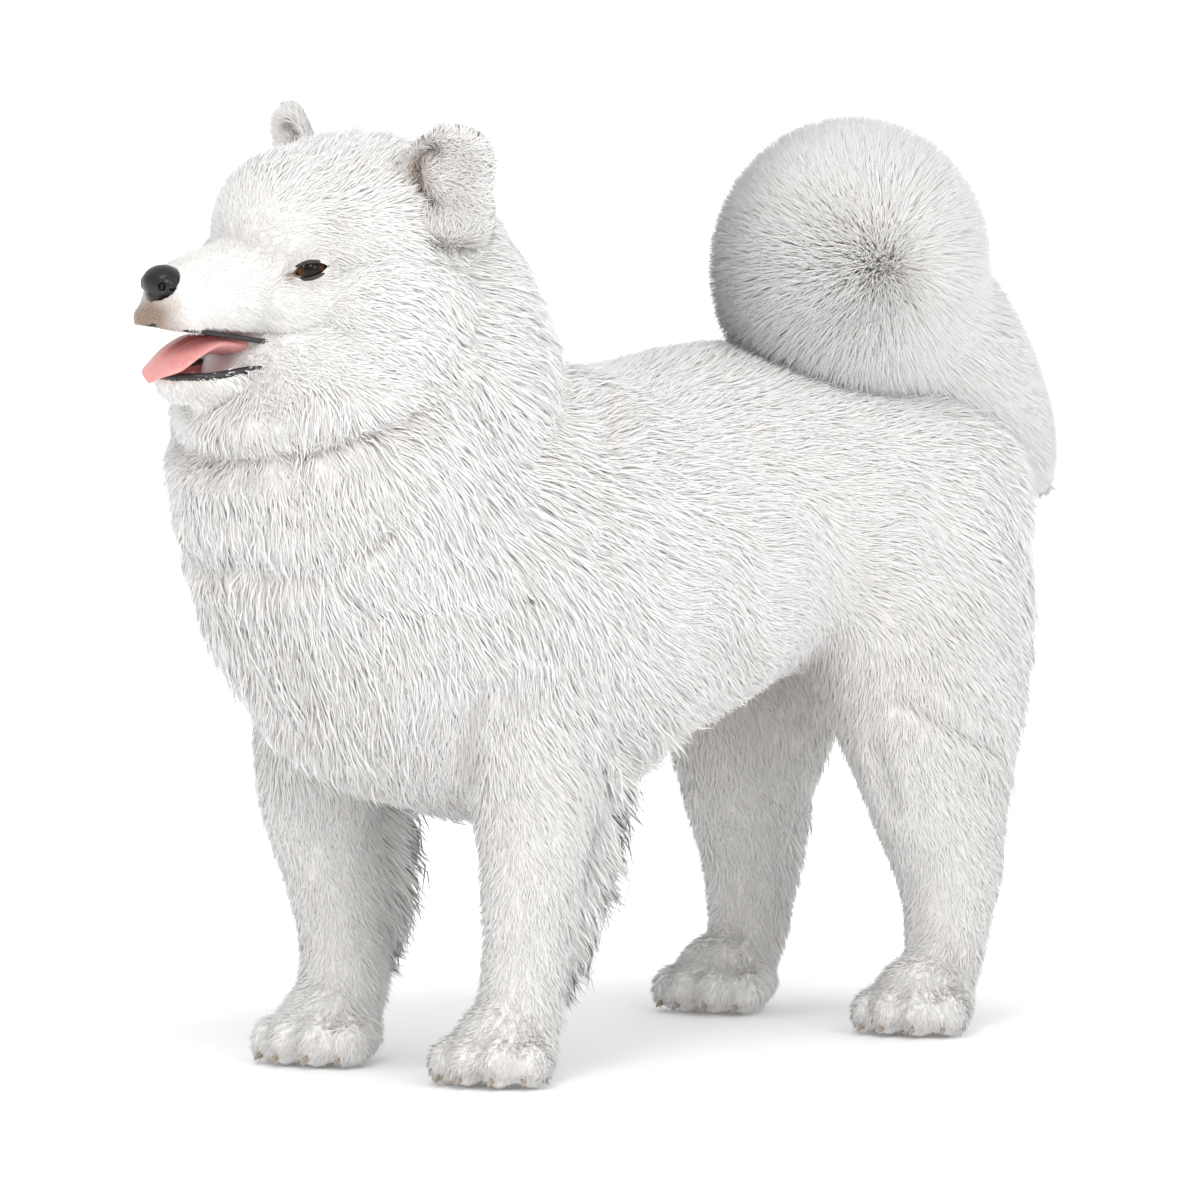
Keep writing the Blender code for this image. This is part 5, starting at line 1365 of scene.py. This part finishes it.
def headCoat():
    spots, normals, uv = rootsOn(headPiece, 60, 31)
    fields = guided(spots)
    draw = np.random.default_rng(32)
    inverse = np.array(headMatrix.inverted())
    local = spots @ inverse[:3, :3].T + inverse[:3, 3]
    keep = draw.random(len(spots)) < fields[:, 5] * coatShare["face"] / 60
    # bare: the mouth, the sockets, the nose, and what is deep in the neck
    keep &= ~((-local[:, 1] > 0.190) & (((local[:, 0] / 0.0185) ** 2
        + ((local[:, 2] + 0.033) / 0.0165) ** 2) < 1))
    for side in (1, -1):
        middle, outward, along, _ = eyeFrame(side)
        offset = spots - np.array(middle)
        alongPart, upPart = offset @ np.array(along), offset @ np.array(along.cross(outward))
        keep &= ~((((alongPart / 0.0164) ** 2 + (upPart / 0.0077) ** 2) < 1)
            & (offset @ np.array(outward) > -0.004))
    keep &= spots[:, 2] > 0.61
    spots, normals, uv, fields = only(keep, spots, normals, uv, fields)
    surface, _ = nearestOn(wholeHead, spots)
    keep = np.linalg.norm(spots - surface, axis=1) < 0.0016
    spots, normals, uv, fields = only(keep, spots, normals, uv, fields)
    low = spots[:, 2] < 0.80
    hidden = np.zeros(len(spots), bool)
    hidden[low] = insideOf(treeOf(bodyPiece), spots[low], 0.003)
    for skin in (leftEar, rightEar):
        hidden |= insideOf(treeOf(skin), spots, 0.001)
    spots, normals, uv, fields = only(~hidden, spots, normals, uv, fields)
    wild = np.full(len(spots), 0.30)
    tufts = lyingTufts(headTree, spots, normals, uv, fields, False, 1.0, 1.0, wild, 0.20, 8, 33)
    face = fields[:, 3] < 13.5
    addCoat("faceCoat", tufts, face, spikeStops, 0.28, 34)
    addCoat("crownCoat", tufts, ~face, spikeStops, 0.26, 35)
    guard = (np.random.default_rng(36).random(len(spots)) < 0.10) & ~face
    spots, normals, uv, fields = only(guard, spots, normals, uv, fields)
    tufts = lyingTufts(headTree, spots, normals, uv, fields, True, 1.1, 1.10, np.full(len(spots), 0.3), 0.5,
        7, 37)
    tufts["width"] = tufts["width"] * 0.85
    addCoat("crownLocks", tufts, np.ones(len(spots), bool), shortStops, 0.2, 38)


def earCoat(name, skin, side):
    matrix = earMatrix(side)
    spots, normals, uv = rootsOn(skin, 60, 41)
    hidden = insideOf(wholeHead, spots, 0.002)
    spots, normals, uv = only(~hidden, spots, normals, uv)
    inverse = np.array(matrix.inverted())
    local = spots @ inverse[:3, :3].T + inverse[:3, 3]
    draw = np.random.default_rng(42)
    w, h = earShape["width"], earShape["height"]
    across, height = local[:, 0] / w, local[:, 2] / h
    inner = (local[:, 1] < 0) & (np.abs(across) < 0.85) & (height > -0.05) & (height < 0.84)
    count = len(spots)
    lie = np.stack([0.35 * across, np.zeros(count), np.ones(count)], axis=1)
    lie[inner] = np.stack([0.8 - 0.2 * across, -0.1 + 0 * across, 0.25 - 0.5 * (height < 0.3)], axis=1)[inner]
    lie = lie @ np.array(matrix.to_3x3()).T + 0.55 * unit(draw.normal(size=(count, 3)))
    lie = unit(lie - normals * (lie * normals).sum(axis=1, keepdims=True))
    groove = np.exp(-((gapTo(local * (1, 0, 1), earGroove()) / 0.0055) ** 2)) * (local[:, 1] < 0)
    length = np.where(inner, 0.0125 * (1 - 0.55 * groove), 0.009) * draw.uniform(0.7, 1.15, count)
    depth = np.where(inner, 0.0075 * (1 - 0.70 * groove), 0.0056) * draw.uniform(0.55, 1.15, count)
    low = np.interp(height, [-0.2, 0.1], [1.5, 1.0])
    length, depth = (length * low)[:, None], (depth * low)[:, None]
    start = spots - normals * 0.0008
    tip = gathered(start, spots + lie * length + normals * depth, 8, 0.30, 43)
    tufts = {"start": start, "middle": (start + tip) / 2, "tip": tip, "normal": normals,
        "tipNormal": normals, "uv": uv, "width": np.full(count, 1.8)}
    addCoat(name, tufts, draw.random(count) < 0.75, spikeStops, 0.40, 44)


def tailCoat():
    spots, normals, uv = rootsOn(tailPiece, 38, 51)
    draw = np.random.default_rng(52)
    inside = insideOf(treeOf(bodyPiece), spots, 0.0)
    spots, normals, uv = only(~inside, spots, normals, uv)
    count = len(spots)
    outward = unit(normals + 0.25 * unit(draw.normal(size=(count, 3))))
    reach, crest, crestNormal = np.empty(count), spots.copy(), normals.copy()
    for k in range(count):
        _, out, _, distance = plumeTree.ray_cast(spots[k] + normals[k] * 0.001, outward[k])
        reach[k] = min(distance or 0.01, 0.075)
        if out is not None:
            crestNormal[k] = out
    crest = spots + outward * reach[:, None]
    # the hair runs out from the whorl's middle and falls towards the rump
    spread = crest - np.array(tailShape["centre"])
    spread[:, 0] *= 0.25
    far = np.clip(np.linalg.norm(spread, axis=1) / 0.06, 0.75, 1.2)[:, None]
    falling = np.clip((crest[:, 1] - 0.22) / 0.12, 0, 1)[:, None]
    run = (unit(spread) * far + np.array((0.05, 0.85, -0.60)) * (0.10 + 0.95 * falling)
           + 0.16 * unit(draw.normal(size=(count, 3))))
    run += 0.22 * ripple(crest, 0.08, 53)[:, None] * np.cross(crestNormal, unit(spread))
    rising = (run * crestNormal).sum(axis=1, keepdims=True)
    run = run - crestNormal * rising
    lay = np.minimum(np.linalg.norm(run, axis=1), 1.0)[:, None]
    run = unit(run) * lay
    long = draw.uniform(0.018, 0.044, count)[:, None]
    rise = np.clip(rising, -0.1, 1) * 0.010 + draw.uniform(-0.006, 0.003, (count, 1))
    tip = crest + run * long + crestNormal * rise
    # tips that would leave the plume's own shape come back to it
    settle, settleNormal = nearestOn(plumeTree, tip)
    above = ((tip - settle) * settleNormal).sum(axis=1, keepdims=True)
    tip = tip - settleNormal * np.maximum(above - 0.007, 0)
    start = spots - normals * 0.0012
    tip = gathered(start, tip, 6, 0.25, 54)
    middle = spots + outward * (reach[:, None] * 0.62) + run * long * 0.42
    tufts = {"start": start, "middle": middle, "tip": tip, "normal": crestNormal, "tipNormal": settleNormal,
        "uv": uv, "width": np.full(count, 1.9)}
    curl = (spots[:, 1] - 0.30) * 0.75 < (spots[:, 2] - 0.68) * 0.65
    left = spots[:, 0] > 0.045
    addCoat("plumeLeftCoat", tufts, curl & left, spikeStops, 0.2, 55)
    addCoat("plumeRightCoat", tufts, curl & ~left, spikeStops, 0.2, 56)
    addCoat("tailFallCoat", tufts, ~curl, spikeStops, 0.2, 57)
    # a dense inner coat that fills the plume under them
    pick = draw.random(count) < 0.15
    start, outward, reach, normals, uv, run = only(pick, start, outward, reach, normals, uv, run)
    tip = start + outward * (reach * 0.90)[:, None] + run * 0.012
    inner = {"start": start, "middle": (start + tip) / 2, "tip": tip, "normal": normals,
        "tipNormal": normals, "uv": uv, "width": np.full(len(start), 6.0)}
    addCoat("plumeUndercoat", inner, np.ones(len(start), bool), spikeStops, 0.2, 58)


bodyCoat()
headCoat()
earCoat("leftEarCoat", leftEar, 1)
earCoat("rightEarCoat", rightEar, -1)
tailCoat()
print("coat", coatTriangles, "triangles")


# the lining of the mouth and the sockets is the skin's own surface there
def lineMouth(skin):
    mesh = skin.data
    for material in (skinPale, mouthPink, darkLip):
        mesh.materials.append(material)
    centres = np.empty(3 * len(mesh.polygons))
    mesh.polygons.foreach_get("center", centres)
    centres = centres.reshape(-1, 3)
    surface, _ = nearestOn(wholeHead, centres)
    deep = np.linalg.norm(centres - surface, axis=1) > 0.0024
    kind = deep.astype(np.int32)
    inverse = np.array(headMatrix.inverted())
    ahead = -(centres @ inverse[:3, :3].T + inverse[:3, 3])[:, 1]
    kind[deep & (np.linalg.norm(centres - surface, axis=1) < 0.0075) & (ahead < 0.175)] = 2
    for side in (1, -1):
        middle = np.array(eyeFrame(side)[0])
        atEye = np.linalg.norm(centres - middle, axis=1) < 0.024
        kind[atEye & (np.linalg.norm(centres - surface, axis=1) > 0.0012)] = 2
    mesh.polygons.foreach_set("material_index", kind)


lineMouth(headPiece)
for skin in (bodyPiece, tailPiece, leftEar, rightEar):
    skin.data.materials.append(skinPale)
for skin in (bodyPiece, tailPiece, headPiece, leftEar, rightEar):
    smoothShaded(skin)

finishPiece(bodyPiece, "coat", "torso", "neck", "foreleg_left", "foreleg_right", "hindleg_left",
            "hindleg_right", "hock_left", "hock_right", "forepaw_left", "forepaw_right", "hindpaw_left",
            "hindpaw_right")
finishPiece(headPiece, "coat", "head", "lower_jaw")
finishPiece(tailPiece, "coat", "tail_root", "tail_curl")
finishPiece(leftEar, "coat", "ear_left")
finishPiece(rightEar, "coat", "ear_right")
finishPiece(leftEye, "eye", "eye_left")
finishPiece(rightEye, "eye", "eye_right")
finishPiece(leftRim, "nose")
finishPiece(rightRim, "nose")
finishPiece(lipPiece, "nose")
finishPiece(tonguePiece, "tongue", "tongue")
finishPiece(nosePiece, "nose", "nose")
finishPiece(clawPiece, "nose")
for piece, slotName, replaced in pieces:
    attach(piece, "root")
    if replaced:
        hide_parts(*replaced)
heaviest = 0
total = 0
for piece, _, _ in pieces:
    piece.data.calc_loop_triangles()
    count = len(piece.data.loop_triangles)
    total += count
    heaviest = max(heaviest, count)
print("pieces", len(pieces), "triangles", total, "heaviest", heaviest)
